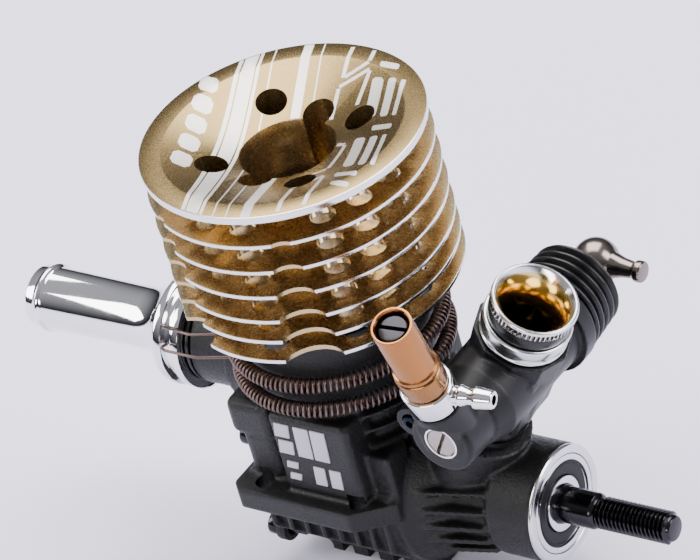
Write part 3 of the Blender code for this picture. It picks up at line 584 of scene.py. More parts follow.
@dataclass
class CoolingHead:
    """Finned head with its etched top, and the bolts in its wells."""

    radius: float = 26.9
    hub_radius: float = 17.6
    top_z: float = 78.47
    rims: tuple[float, ...] = (46.3, 50.8, 55.4, 60.9, 66.5, 72.2)
    rim_thickness: float = 0.8
    flat_radius: float = 22.8
    well_radius: float = 8.9
    dish_drop: float = 4.4
    fin_hole_ring: float = 21.5
    fin_hole_radius: float = 2.45
    fin_hole_angles: tuple[int, ...] = (0, 20, 40, 80, 100, 140, 160, 180, 200, 220, 260, 280, 320, 340)
    notch_ring: float = 29.6
    notch_angles: tuple[int, ...] = (60, 120, 240, 300)
    facets: int = 160
    slant: float = 0.38
    stroke_width: float = 0.8
    etch_height: float = 0.02
    etch_depth: float = 0.12
    tool_span: tuple[float, float] = (60.0, 90.0)

    def outline(self) -> Outline:
        """Outline of the fins, the dish and the plug well."""
        points = [(12.0, 43.5), (self.hub_radius, 43.5)]
        for rim in self.rims:
            points += [
                (self.hub_radius, rim - 1.3),
                (self.radius, rim - self.rim_thickness),
                (self.radius, rim),
                (self.hub_radius, rim + 0.1),
            ]
        dish = self.top_z - self.dish_drop
        points += [
            (self.hub_radius, 75.0),
            (self.radius, 77.0),
            (self.radius, self.top_z),
            (self.flat_radius, self.top_z),
            (self.well_radius + 0.2, dish),
            (self.well_radius, dish - 2.0),
            (self.well_radius - 0.9, 63.0),
            (7.4, 58.0),
            (3.5, 58.0),
            (3.5, 48.8),
            (12.0, 48.8),
        ]
        return points

    def bolts(self) -> list[tuple[float, float]]:
        """Places of the four head bolts."""
        return [polar(HEAD_BOLT_CIRCLE, angle) for angle in CORNER_ANGLES]

    def wells(self) -> list[bmesh.types.BMesh]:
        """The bolt wells and the two lobes, open at the top."""
        return [
            pins(self.bolts(), 3.0, 52.0, 80.0, 48),
            pins([(0, -10.6), (0, 10.6)], 3.1, 62.0, 80.0, 48),
        ]

    def head(self) -> None:
        """Turn the head, then drill and notch it; drilled walls and rims are left bright."""
        materials = [GOLD_TURNED.material(UPRIGHT, "upright"), CUT_EDGE.material(), GOLD_FROSTED.material()]
        blank = as_object("finned_head", spun(self.outline(), self.facets, 0.14), materials)
        for face in blank.data.polygons:
            centre = face.center
            reach = math.hypot(centre.x, centre.y)
            if reach > self.radius - 0.2:
                face.material_index = 1
            elif centre.z > self.top_z - self.dish_drop - 0.3 and reach < self.radius and face.normal.z > 0.5:
                face.material_index = 2
        holes = [polar(self.fin_hole_ring, angle) for angle in self.fin_hole_angles]
        drilled = pins(holes, self.fin_hole_radius, 44.0, 74.0, 28)
        for face in drilled.faces:
            face.material_index = 1
        cone = [(0, 74.0), (3.0, 74.0), (6.6, 44.0), (0, 44.0)]
        places = [Matrix.Translation((*polar(self.notch_ring, angle), 0)) for angle in self.notch_angles]
        cones = [moved(spun(cone, 48, 0), place) for place in places]
        shanks = pins(self.bolts(), 2.0, 42.0, 53.0, 20)
        worked(blank, gathered([drilled, *cones, *self.wells()], None))
        worked(blank, shanks)
        blank.data.transform(UPRIGHT)
        finished(blank, Body.BLOCK, "gold_anodised", "cooling_head", angle=32)

    def band(self, u0: float, u1: float, y0: float, y1: float) -> bmesh.types.BMesh:
        """A slanted band between two lines of constant x + slant * y."""
        corners = [(u0 - self.slant * y0, y0), (u1 - self.slant * y0, y0), (u1 - self.slant * y1, y1)]
        return plate([*corners, (u0 - self.slant * y1, y1)], *self.tool_span)

    def stroke(self, start: tuple[float, float], end: tuple[float, float]) -> bmesh.types.BMesh:
        """A thin straight line between two points."""
        a, b = Vector(start), Vector(end)
        side = Vector((a.y - b.y, b.x - a.x)).normalized() * self.stroke_width / 2
        return plate([tuple(a + side), tuple(b + side), tuple(b - side), tuple(a - side)], *self.tool_span)

    def tile(self, x: float, y: float, width: float, height: float) -> bmesh.types.BMesh:
        """A slanted block with cut corners, on its own centre."""
        cut = min(width, height) * 0.22
        w, h = width / 2, height / 2
        corners = [(-w + cut, -h), (w - cut, -h), (w, -h + cut), (w, h - cut), (w - cut, h), (-w + cut, h)]
        corners += [(-w, h - cut), (-w, -h + cut)]
        return plate([(x + a - self.slant * b, y + b) for a, b in corners], *self.tool_span)

    def etching(self) -> None:
        """The silver pattern: a skin a hair above the dish, kept only under its strokes."""
        top = self.top_z + self.etch_height
        sunk = top - self.etch_depth
        skin = [
            (26.6, top), (26.6, sunk), (self.flat_radius, sunk), (9.3, sunk - self.dish_drop + 0.06),
            (9.3, top - self.dish_drop + 0.06), (self.flat_radius, top),
        ]
        skin_object = as_object("head_etching", spun(skin, self.facets, 0), [ETCHED.material()])
        bands = (
            (-14.6, -13.75, -27, 27), (-13.45, -10.75, -27, 27), (-10.45, -9.8, -27, 27),
            (-1.8, 0.2, -27, 27), (-7.65, -7.35, -27, 27), (2.35, 2.65, 3, 27), (-4.95, -4.65, -27, -3),
        )
        marks = [self.band(*edges) for edges in bands]
        for line in (
            [(-1.2, 26.0), (1.0, 18.5)], [(1.35, 18.7), (4.6, 22.5)], [(4.5, 22.9), (3.6, 26.0)],
            [(5.6, 21.0), (1.3, 16.5)], [(1.4, 16.1), (3.5, 9.5)], [(5.9, 20.6), (7.4, 13.0)],
            [(9.0, 3.2), (11.0, 3.0)], [(11.2, 2.7), (12.8, -5.0)], [(12.6, -5.3), (10.0, -7.5)],
            [(10.7, -13.0), (14.0, -8.0)], [(14.2, -8.3), (17.5, -19.0)], [(10.8, -13.5), (13.8, -22.0)],
        ):
            marks.append(self.stroke(*line))
        for x, y, width, height in (
            (9.2, 22.6, 4.2, 1.6), (17.2, 6.9, 4.6, 1.4), (19.4, -8.2, 5.2, 1.5), (20.4, -11.6, 4.0, 1.4),
            (-22.6, 8.6, 4.2, 4.0), (-20.7, 3.5, 4.2, 4.0), (-18.8, -1.6, 4.2, 4.0), (-16.9, -6.7, 4.2, 4.0),
            (-15.0, -11.8, 4.2, 4.0),
        ):
            marks.append(self.tile(x, y, width, height))
        for x, y, height in ((13.2, 14.6, 9.4), (18.4, -0.4, 9.6)):
            for offset, width in ((-2.7, 2.6), (0.6, 1.8), (3.1, 1.0)):
                marks.append(self.tile(x + offset, y, width, height))
        worked(skin_object, gathered(marks), "INTERSECT", overlapping=True)
        worked(skin_object, gathered(self.wells()))
        skin_object.data.transform(UPRIGHT)
        finished(skin_object, Body.BLOCK, "bright_aluminium")

    def fastenings(self) -> None:
        """Socket-head bolts and the glow plug."""
        bolt = [(0, 34.5), (1.5, 34.5), (1.5, 52.3), (2.7, 52.3), (2.7, 56.0), (0, 56.0)]
        for number, (x, y) in enumerate(self.bolts(), 1):
            place = Matrix.Translation((x, y, CRANK_Z))
            screw = socket_screw(f"socket_bolt_{number}", bolt, (1.45, 54.2, 57.0), place)
            finished(screw, Body.BLOCK, "black_steel", f"head_bolt_{number}")
        plug = [
            (0, 67.4), (1.4, 67.4), (1.7, 67.0), (1.7, 66.0), (1.2, 65.6), (1.2, 64.6), (2.4, 64.4),
            (2.4, 63.2), (3.4, 63.2), (3.4, 59.4), (3.2, 59.2), (3.2, 47.0), (1.6, 46.6), (0, 46.6),
        ]
        body = as_object("glow_plug_shell", spun(plug, 48, 0.1), [NICKEL.material()])
        worked(body, spun(bar(4.6, 59.3, 63.0), HEXAGON, 0.2), "UNION")
        body.data.transform(UPRIGHT)
        finished(body, Body.BLOCK, "nickel_steel", "glow_plug")

    def make(self) -> None:
        """Build every piece of the head."""
        self.head()
        self.etching()
        self.fastenings()


@dataclass
class Crankcase:
    """Cast case with its machined nose, printed side panel, rear cover and screws."""

    tower_radius: float = 18.0
    deck_z: float = 43.2
    rear_x: float = -16.0
    snout_radius: float = 11.4
    lug_edge: float = 22.5
    lug_x: tuple[float, float] = (-18.5, 16.5)
    lug_z: tuple[float, float] = (20.0, 24.5)
    lug_holes_x: tuple[float, float] = (-12.5, 9.3)
    lug_hole_y: float = 18.6
    cover_screw_circle: float = 15.9
    panel_y: float = 19.2
    mark_depth: float = 0.55
    voxel: float = 0.42

    def tower(self) -> bmesh.types.BMesh:
        """Cylinder tower with ring fins below the springs."""
        r = self.tower_radius
        outline = [(0, self.deck_z), (r, self.deck_z), (r, 26.0)]
        for z in (24.4, 20.9, 17.4, 13.9, 10.4):
            outline += [(r - 1.8, z + 1.2), (r - 1.8, z + 0.45), (r + 0.3, z + 0.3), (r + 0.3, z - 0.5),
                        (r - 1.8, z - 0.65)]
        outline += [(r - 1.8, 7.0), (14.0, 5.0), (0, 5.0)]
        return moved(spun(outline, 96, 0), UPRIGHT)

    def snout(self) -> bmesh.types.BMesh:
        """Crank barrel that narrows to the front bearing's housing."""
        r = self.snout_radius
        outline = [(0, 41.2), (r, 41.2), (r, 32.0), (r - 0.5, 31.4), (9.9, 30.4), (10.6, 24.0)]
        outline += [(15.2, 17.0), (16.2, 15.5), (16.2, self.rear_x), (0, self.rear_x)]
        return moved(spun(outline, 96, 0), CRANK_AXIS)

    def side_fins(self) -> list[bmesh.types.BMesh]:
        """Flat fins along both sides of the snout, and upright ones under the lugs."""
        shapes = []
        for z in (6.6, 3.2, -0.2, -3.6, -7.0):
            near = math.sqrt(14.6**2 - z**2)
            far = math.sqrt(11.6**2 - z**2)
            outline = [(10.0, -near), (17.0, -near), (31.0, -far), (31.0, far), (17.0, near), (10.0, near)]
            shapes.append(plate(outline, CRANK_Z + z - 0.55, CRANK_Z + z + 0.55))
        for index in range(8):
            x = -14.6 + 3.9 * index
            fin = [(8.0, 1.6), (17.6, 12.0), (17.6, 21.0), (-17.6, 21.0), (-17.6, 12.0), (-8.0, 1.6)]
            shapes.append(moved(plate(fin, x - 0.65, x + 0.65), CROSSWISE))
        return shapes

    def lugs(self) -> list[bmesh.types.BMesh]:
        """Engine bearers with cut corners, each with a raised land along its root."""
        shapes = []
        low_x, high_x = self.lug_x
        for side in (-1, 1):
            edge, root = side * self.lug_edge, side * 12.0
            outline = [(low_x, root), (low_x, edge - side * 2.0), (low_x + 2.0, edge), (high_x - 7.5, edge),
                       (high_x, edge - side * 5.6), (high_x, root)]
            shapes.append(plate(outline, *self.lug_z))
            shapes.append(flank(side, (low_x + 1.5, high_x - 1.0), (12.0, 16.6), (22.0, 25.8)))
        return shapes

    def casting(self) -> None:
        """Melt the shapes into one casting, then machine its bores."""
        shapes = [self.tower(), self.snout(), *self.side_fins(), *self.lugs()]
        for side in (-1, 1):
            shapes.append(flank(side, (-6.5, 11.5), (11.0, 19.5), (25.0, CRANK_Z + 25.5), 1.0))
            shapes.append(flank(side, (9.8, 16.4), (9.0, 15.9), (24.0, 34.4), 0.6))
        shapes.append(block((-10.0, -9.0, 0.2), (15.0, 9.0, 6.0)))
        for rear, low, high in ((self.rear_x, 7.0, 18.0), (-18.3, 16.4, 24.5)):
            shapes.append(block((rear, -17.5, CRANK_Z + low), (-8.3, 17.5, CRANK_Z + high), 1.5))
        shapes.append(rod(9.5, 0, 31.0, 72, PORT_AXIS))
        shapes.append(rod(11.4, 0, 21.5, 72, PORT_AXIS))
        socket = [(0, -18.3), (8.8, -18.3), (8.8, -24.0), (9.8, -31.0), (0, -31.0)]
        shapes.append(moved(spun(socket, 72, 0), THROAT))
        shapes.append(rod(3.4, -8.6, 8.6, 32, CLAMP_LINE))
        case = as_object("case_casting", gathered(shapes), [CAST.material(), MACHINED.material()])
        cast(case, self.voxel)
        grooves = [block((x, -20, -1.0), (x + 2.6, 20, 2.4)) for x in (-7.4, -1.4, 4.6, 10.6)]
        worked(case, gathered(grooves))
        worked(case, rod(15.7, -20.0, self.rear_x, 96, CRANK_AXIS))
        holes = [(x, side * self.lug_hole_y) for x in self.lug_holes_x for side in (-1, 1)]
        worked(case, pins(holes, 1.95, 18.0, 27.0, 40))
        worked(case, gathered(self.bores(), 1))
        finished(case, Body.BLOCK, "cast_black", "crankcase")

    def bores(self) -> list[bmesh.types.BMesh]:
        """Machined bores: one shape for those that meet, and the head bolts' threads."""
        nose = [(0, 43.0), (9.8, 43.0), (9.8, 35.6), (7.3, 35.6), (7.3, 17.4), (13.0, 17.4), (13.0, 10.8),
                (14.0, 10.8), (14.0, -17.0), (0, -17.0)]
        crank = as_object("bore", moved(spun(nose, 96, 0), CRANK_AXIS))
        liner = [(0, 44.2), (11.9, 44.2), (11.9, 41.0), (10.3, 41.0), (10.3, 0.0), (0, 0.0)]
        worked(crank, moved(spun(liner, 96, 0), UPRIGHT), "UNION")
        worked(crank, rod(6.0, 5.0, 32.0, 48, PORT_AXIS), "UNION")
        socket = [(0, -17), (5.9, -17), (5.9, -25), (4.0, -25), (4.0, -33.5), (0, -33.5)]
        worked(crank, moved(spun(socket, 48, 0), THROAT), "UNION")
        head_circle = [polar(HEAD_BOLT_CIRCLE, angle) for angle in CORNER_ANGLES]
        return [taken(crank), moved(pins(head_circle, 1.8, 33.0, 44.5, 20), UPRIGHT)]

    def nose(self) -> None:
        """Bare machined face of the nose, round the front bearing."""
        face = [(11.4, 41.3), (11.4, 41.7), (11.1, 42.0), (9.75, 42.0), (9.6, 41.85), (9.6, 41.3)]
        Turning("machined_nose", face, MACHINED, CRANK_AXIS, "crank", steps=120, edge=0.08).make()

    def print_marks(self) -> None:
        """Raised generic marks on both side panels."""
        outlines = []
        for x, low, high in ((-5.0, 38.2, 41.4), (-5.0, 34.2, 37.4), (-0.6, 34.2, 41.4), (3.2, 34.2, 41.4)):
            outlines.append([(x + 3.4, high), (x, high), (x - 0.5, low), (x + 2.9, low)])
        for x, low, high in ((-4.4, 30.8, 32.4), (-4.4, 28.0, 29.6), (1.6, 28.0, 32.4), (5.2, 28.0, 32.4)):
            outlines.append([(x + 2.6, high), (x, high), (x - 0.4, low), (x + 2.2, low)])
        near = Matrix.Translation((0, -self.panel_y, 0)) @ Matrix.Rotation(math.radians(90), 4, "X")
        far = Matrix.Rotation(math.radians(180), 4, "Z") @ near
        shapes = []
        for outline in outlines:
            shapes += [moved(plate(outline, 0.0, self.mark_depth), side) for side in (near, far)]
        marks = as_object("panel_marks", gathered(shapes), [PRINT.material()])
        bevel = marks.modifiers.new("soften", "BEVEL")
        bevel.width = 0.14
        bevel.segments = 2
        settled(marks)
        finished(marks, Body.BLOCK, "bright_aluminium")

    def cover(self) -> None:
        """Round rear cover with four lobes and its socket screws."""
        face = self.rear_x - 0.3
        plug = [(0, -4.6), (12.6, -4.6), (13.6, -5.6), (13.6, face), (15.2, face), (15.2, face - 2.2),
                (13.2, face - 2.2), (12.6, face - 2.9), (9.4, face - 2.9), (8.8, face - 2.3), (0, face - 2.3)]
        cover = as_object("rear_cover", spun(plug, 120, 0.2), [CAST.material()])
        cover.data.transform(CRANK_AXIS)
        corners = [polar(self.cover_screw_circle, angle) for angle in CORNER_ANGLES]
        places = [along((1, 0, 0), (0, y, CRANK_Z + z)) for y, z in corners]
        lobes = [moved(spun(bar(2.9, face - 2.2, face), 48, 0.25), place) for place in places]
        worked(cover, gathered(lobes), "UNION")
        worked(cover, gathered([rod(1.7, face - 4, face + 1, 28, place) for place in places]))
        finished(cover, Body.BLOCK, "cast_black", "backplate")
        head = face - 2.5
        shank = face + 3.5
        outline = [(0, shank), (1.1, shank), (1.1, head), (2.3, head), (2.3, head - 2.0), (0, head - 2.0)]
        socket = (1.2, head - 3.0, head - 0.8)
        for number, place in enumerate(places, 1):
            screw = socket_screw(f"cover_screw_{number}", outline, socket, place, steps=36)
            finished(screw, Body.BLOCK, "black_steel", f"backplate_screw_{number}")

    def make(self) -> None:
        """Build every piece of the case."""
        self.casting()
        self.nose()
        self.print_marks()
        self.cover()


@dataclass
class ShaftLine:
    """Crankshaft with its cut thread, and the front bearing with its seal."""

    tip_x: float = 66.0
    shoulder_x: float = 49.5
    thread_radius: float = 3.15
    thread_pitch: float = 0.907
    shaft_radius: float = 3.5

    def shaft(self) -> None:
        """Web, journal and ground output end, with the core that the thread's helix winds on."""
        core = self.thread_radius - 0.55
        outline = [
            (0, self.tip_x), (core - 0.3, self.tip_x), (core, self.tip_x - 0.5),
            (core, self.shoulder_x + 0.6), (self.shaft_radius - 0.5, self.shoulder_x + 0.4),
            (self.shaft_radius, self.shoulder_x - 0.3),
            (self.shaft_radius, 35.0), (7.0, 34.6), (7.0, 10.4), (13.5, 10.4), (13.5, 4.2), (0, 4.2),
        ]
        steel = BLACK_STEEL.material(CRANK_AXIS, "crank")
        shaft = as_object("output_shaft", spun(outline, 80, 0.15), [steel])
        shaft.data.transform(CRANK_AXIS)
        pin = spun(bar(2.7, 3.3, 6.0), 40, 0.2)
        worked(shaft, moved(pin, along((1, 0, 0), (0, 0, CRANK_Z - 8.4))), "UNION")
        cuts = [
            block((3.0, 6.5, CRANK_Z - 14), (9.8, 15, CRANK_Z + 2)),
            block((3.0, -15, CRANK_Z - 14), (9.8, -6.5, CRANK_Z + 2)),
        ]
        worked(shaft, gathered(cuts))
        worked(shaft, rod(4.4, 3.0, 29.0, 40, CRANK_AXIS))
        worked(shaft, block((19.5, -4.0, CRANK_Z + 2), (29.0, 4.0, CRANK_Z + 9)))
        finished(shaft, Body.CRANK, "black_steel", "crankshaft")

    def thread(self) -> None:
        """One ridge wound along the core, its two ends capped."""
        per_turn = 28
        turns = (self.tip_x - self.shoulder_x - 1.6) / self.thread_pitch
        half = self.thread_pitch / 2
        bm = bmesh.new()
        crest = self.thread_radius
        profile = ((2.5, -half * 0.95), (crest, -0.07), (crest, 0.07), (2.5, half * 0.95))
        start = self.shoulder_x + 0.8
        verts = [bm.verts.new((radius, 0.0, start + height)) for radius, height in profile]
        edges = [bm.edges.new(pair) for pair in zip(verts, verts[1:] + verts[:1])]
        steps = int(turns * per_turn)
        bmesh.ops.spin(
            bm, geom=verts + edges, cent=(0, 0, 0), axis=(0, 0, 1), dvec=(0, 0, self.thread_pitch / per_turn),
            angle=2 * math.pi * steps / per_turn, steps=steps,
        )
        bmesh.ops.holes_fill(bm, edges=[edge for edge in bm.edges if edge.is_boundary], sides=4)
        bmesh.ops.recalc_face_normals(bm, faces=bm.faces)
        ridge = as_object("shaft_thread", moved(bm, CRANK_AXIS), [BLACK_STEEL.material()])
        finished(ridge, Body.CRANK, "black_steel", angle=20)

    def front_bearing(self) -> None:
        """Races with rounded lips, and the rubber seal between them."""
        outer = [(9.5, 41.9), (9.5, 35.9), (7.9, 35.9), (7.9, 40.9), (8.35, 41.35), (8.35, 41.9)]
        Turning("front_outer_race", outer, BEARING, CRANK_AXIS, "crank", Body.BLOCK,
                ("front_bearing_outer_race",), 120, 0.22).make()
        inner = [(5.35, 41.9), (5.35, 35.9), (3.8, 35.9), (3.8, 41.9)]
        Turning("front_inner_race", inner, BEARING, CRANK_AXIS, "crank", Body.CRANK,
                ("front_bearing_inner_race",), 96, 0.25).make()
        seal = [(8.2, 41.25), (8.2, 41.0), (5.5, 41.0), (5.5, 41.35), (6.0, 41.55), (7.6, 41.55), (7.9, 41.3)]
        Turning("front_seal", seal, SEAL, CRANK_AXIS, "crank", Body.BLOCK, ("front_bearing_seal",), 96,
                0.08).make()
        collar = [(3.78, 42.3), (3.78, 38.0), (3.4, 38.0), (3.4, 42.3)]
        Turning("shaft_collar", collar, BLACK_STEEL, CRANK_AXIS, "crank", Body.CRANK, (), 64, 0.05).make()

    def make(self) -> None:
        """Build every piece of the shaft line."""
        self.shaft()
        self.thread()
        self.front_bearing()


@dataclass
class Carburettor:
    """Moulded body, venturi stack, slide, boot and adjusting screws."""

    voxel: float = 0.28
    boot_start: float = 14.4
    boot_end: float = 25.3
    folds: int = 5
    ball_y: float = 31.1
    ball_radius: float = 4.6
    knurl_count: int = 60
    knurl_depth: float = 0.45

    def body(self) -> None:
        """Melt the body's bosses together, then bore it."""
        barrel = [(0, 11.6), (8.9, 11.6), (8.6, 6.0), (8.3, -12.0), (7.0, -16.0), (0, -16.0)]
        end_boss = [(0, -14.0), (6.6, -14.0), (6.5, -23.4), (6.0, -24.2), (0, -24.2)]
        neck = [(0, 9.6), (9.3, 9.6), (8.6, 1.0), (0, 1.0)]
        trunk = [(0, 0), (8.4, 0), (7.4, -14.0), (7.4, -17.0), (5.5, -17.0), (5.5, -24.4), (0, -24.4)]
        needle_boss = [(0, 10.8), (4.9, 10.8), (5.8, 2.0), (5.8, -0.7), (0, -0.7)]
        turned = (
            (barrel, 72, BARREL), (end_boss, 64, BARREL), (bar(10.1, 10.3, 13.9), 72, BARREL),
            (neck, 10, THROAT), (trunk, 64, THROAT), (needle_boss, 56, NEEDLE_LINE),
            (bar(3.1, -21.3, -6.0), 40, IDLE_LINE),
        )
        shapes = [moved(spun(outline, steps, 0), place) for outline, steps, place in turned]
        shapes.append(moved(block((-7.6, -8.0, -12.0), (7.6, 8.0, 6.0), 2.0), THROAT))
        body = as_object("carb_moulding", gathered(shapes), [NYLON.material()])
        cast(body, self.voxel, 1)
        slots = [ring(6.0, 11.5, z, z + 1.0) for z in (-13.2, -15.6)]
        worked(body, gathered([moved(spun(slot, 48, 0), THROAT) for slot in slots]))
        for x in (4.3, 6.1):
            worked(body, moved(block((x, -13.0, -8.6), (x + 0.9, -3.5, -4.4)), THROAT))
        tool = as_object("bore", rod(5.9, -15.0, 15.0, 64, BARREL))
        throat = [(0, 10.5), (5.7, 10.5), (4.5, 4.0), (4.5, -26.0), (0, -26.0)]
        worked(tool, moved(spun(throat, 64, 0), THROAT), "UNION")
        worked(tool, rod(3.4, -25.0, -14.0, 48, BARREL), "UNION")
        worked(tool, rod(2.0, 2.0, 12.0, 28, NEEDLE_LINE), "UNION")
        worked(body, taken(tool))
        worked(body, rod(6.7, -32.0, -24.3, 72, BARREL))
        worked(body, rod(1.9, -22.5, -12.0, 32, IDLE_LINE))
        finished(body, Body.BLOCK, "composite", "carb_body")

    def venturi(self) -> None:
        """Knurled ring with its double lip, the gold bore, the spacer band and the collar."""
        rim = [
            (8.18, 18.75), (8.18, 17.3), (7.95, 17.05), (6.3, 17.05), (6.3, 14.3), (5.5, 14.1), (5.5, 10.8),
            (4.9, 9.0), (4.4, 6.1), (4.15, 6.1), (4.2, 9.0), (4.45, 12.0), (5.0, 14.6), (5.8, 16.7),
            (6.7, 18.3), (7.35, 19.2), (7.6, 19.38), (7.95, 19.3),
        ]
        bm = spun(rim, self.knurl_count * 4, 0.3)
        for vert in bm.verts:
            reach = math.hypot(vert.co.x, vert.co.y)
            turn = round(math.atan2(vert.co.y, vert.co.x) / math.pi * self.knurl_count * 2)
            if reach > 8.0 and vert.co.z < 18.5 and turn % 4 < 2:
                vert.co.xy *= 1 - self.knurl_depth / reach
        turned = [finish.material(THROAT, "throat") for finish in (MACHINED, BRASS)]
        for face in bm.faces:
            centre = face.calc_center_median()
            if face.normal.xy.dot(centre.xy) < -0.1 and centre.z < 18.2:
                face.material_index = 1
            # Faces in the knurl's grooves take the darker nickel finish: painted shade in the grooves, which
            # are the same machined metal as the ring.
            elif 7.4 < centre.xy.length < 7.98 and 17.2 < centre.z < 18.6:
                face.material_index = 2
        # The third material, the darker nickel, is the painted shade in the knurl's grooves.
        mouth = as_object("venturi_mouth", moved(bm, THROAT), [*turned, NICKEL.material()])
        finished(mouth, Body.BLOCK, "bright_aluminium", "venturi_ring", angle=30)
        collar = [
            (8.4, 13.6), (8.4, 11.8), (8.15, 11.5), (8.15, 10.6), (8.35, 10.4), (8.35, 10.0), (5.9, 10.0),
            (5.9, 13.9), (8.1, 13.9),
        ]
        Turning(
            "intake_collar", collar, MACHINED, THROAT, "throat", nodes=("venturi_collar",), steps=96
        ).make()
        band = ring(6.6, 7.85, 14.2, 16.8)
        Turning(
            "intake_band", band, RUBBER, THROAT, "throat", nodes=("venturi_oring",), steps=96, edge=0.3
        ).make()

    def slide(self) -> None:
        """Slide barrel with its rod, and the ball stud turned forward."""
        barrel = [
            (0, 26.2), (2.1, 26.2), (2.1, 14.2), (5.6, 14.2), (5.6, 4.8), (2.3, 4.8), (2.3, 12.6), (0, 12.6)
        ]
        nodes = ("throttle_barrel",)
        Turning("slide_barrel", barrel, MACHINED, BARREL, "barrel", Body.SLIDE, nodes, 64).make()
        bm = bmesh.new()
        bmesh.ops.create_uvsphere(bm, u_segments=64, v_segments=40, radius=self.ball_radius)
        centre = BARREL @ Matrix.Translation((0, 0, self.ball_y))
        ball = as_object("ball_stud", moved(bm, centre), [NICKEL.material()])
        neck = [(0, 10.3), (1.9, 10.3), (2.1, 10.0), (2.1, 8.9), (1.6, 8.3), (1.9, 6.0), (2.7, 3.4), (0, 3.0)]
        origin = (CARB_CENTRE[0], self.ball_y, CARB_CENTRE[2])
        worked(ball, moved(spun(neck, 48, 0.12), along((1, 0, -0.05), origin)), "UNION")
        worked(ball, rod(1.9, 26.5, 29.0, 40, BARREL), "UNION")
        finished(ball, Body.SLIDE, "nickel_steel", "throttle_ball")

    def boot(self) -> None:
        """Bellows round the slide, fixed on the block."""
        pitch = (self.boot_end - self.boot_start - 0.8) / self.folds
        outside = []
        for index in range(self.folds):
            start = self.boot_start + index * pitch
            top = 9.85 - 0.14 * index
            outside += [(8.1, start), (top - 0.35, start + pitch * 0.26), (top, start + pitch * 0.5),
                        (top - 0.35, start + pitch * 0.74)]
        outline = outside + [(8.0, self.boot_end - 0.8), (2.5, self.boot_end), (2.5, self.boot_end - 1.0),
                             (7.0, self.boot_end - 1.6), (7.0, self.boot_start)]
        bm = moved(spun(outline, 96, 0.3), BARREL)
        boot = as_object("bellows_boot", bm, [RUBBER.material()])
        finished(boot, Body.BLOCK, "rubber", "dust_boot", angle=60)
        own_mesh(boot)

    def screws(self) -> None:
        """Slotted mixture screw in its bright sleeve, socket idle screw and clamp screw."""
        mixture = [
            (0, -24.15), (2.75, -24.15), (2.95, -23.9), (2.95, -15.6), (1.6, -15.6), (1.6, -1.4), (0, -1.4)
        ]
        bm = moved(spun(mixture, 56, 0.1), BARREL)
        screw = as_object("mixture_slotted_screw", bm, [MIXTURE_FACE.material()])
        tilt = along((0, 1, 0), CARB_CENTRE) @ Matrix.Rotation(math.radians(28), 4, "Z")
        worked(screw, moved(block((-4, -0.35, -25.0), (4, 0.35, -22.5)), tilt))
        finished(screw, Body.MIXTURE, "black_steel", "mixture_screw")
        sleeve = ring(3.02, 3.38, -24.3, -18.0)
        Turning("mixture_sleeve", sleeve, CUT_EDGE, BARREL, "barrel", edge=0.08).make()
        outline = [(0, -13.0), (1.5, -13.0), (1.5, -21.9), (0, -21.9)]
        idle = socket_screw(
            "idle_socket_screw", outline, (0.85, -22.5, -20.6), IDLE_LINE, BLUED, edge=0.15
        )
        finished(idle, Body.IDLE, "black_steel", "idle_stop_screw")
        outline = [(0, 9.6), (1.4, 9.6), (1.4, -9.1), (2.6, -9.1), (2.6, -11.2), (0, -11.2)]
        bolt = socket_screw("clamp_socket_screw", outline, (1.35, -12.0, -10.0), CLAMP_LINE)
        finished(bolt, Body.BLOCK, "black_steel", "carb_clamp_screw")

    def make(self) -> None:
        """Build every piece of the carburettor."""
        self.body()
        self.venturi()
        self.slide()
        self.boot()
        self.screws()


@dataclass
class NeedleStack:
    """Fuel banjo with its barbed nipple, and the high-speed needle in its guard tube."""

    banjo_z: float = 13.9

    def banjo(self) -> None:
        """Polished banjo ring and its nipple."""
        outline = [(4.9, 16.3), (4.9, 11.5), (4.6, 11.2), (2.9, 11.2), (2.9, 16.6), (4.6, 16.6)]
        ring_piece = as_object("fuel_ring", spun(outline, 72, 0.15), [POLISHED.material()])
        nipple = [
            (0, 12.4), (1.55, 12.4), (1.75, 12.1), (2.1, 9.4), (2.1, 8.9), (1.5, 8.7), (1.5, 7.6),
            (2.0, 6.4), (2.0, 5.9), (1.6, 5.7), (1.7, 4.0), (0, 4.0),
        ]
        side = Matrix.Translation((0, 0, self.banjo_z)) @ Matrix.Rotation(math.radians(90), 4, "Y")
        worked(ring_piece, moved(spun(nipple, 48, 0.1), side), "UNION")
        worked(ring_piece, rod(0.95, 3.4, 13.0, 24, side))
        ring_piece.data.transform(NEEDLE_LINE)
        finished(ring_piece, Body.BLOCK, "polished_aluminium", "fuel_banjo")

    def needle(self) -> None:
        """Slotted needle with grip rings, down in the tube."""
        outline = [(0, 35.9), (2.5, 35.9), (2.8, 35.6), (2.8, 32.4), (2.45, 32.2), (2.45, 31.6), (2.8, 31.4),
                   (2.8, 27.9), (1.3, 27.4), (1.3, 9.0), (0.4, 5.0), (0, 4.8)]
        needle = as_object("needle_screw", spun(outline, 48, 0.08), [BLACK_STEEL.material()])
        worked(needle, block((-4, -0.4, 34.7), (4, 0.4, 37.0)))
        needle.data.transform(NEEDLE_LINE)
        finished(needle, Body.NEEDLE, "black_steel", "main_needle")

    def make(self) -> None:
        """Build every piece of the needle stack."""
        self.banjo()
        housing = [(4.4, 21.7), (4.4, 17.2), (4.1, 16.9), (2.6, 16.9), (2.6, 11.3), (1.6, 11.3), (1.6, 22.0),
                   (4.1, 22.0)]
        Turning("needle_bushing", housing, BRONZE, NEEDLE_LINE, "needle", nodes=("needle_housing",)).make()
        guard = [(3.8, 36.7), (3.8, 23.3), (4.2, 23.1), (4.2, 22.3), (3.1, 22.3), (3.1, 36.2), (3.35, 36.7)]
        Turning(
            "guard_tube", guard, ROSE, NEEDLE_LINE, "needle", nodes=("needle_guard",), steps=80, edge=0.06
        ).make()
        self.needle()


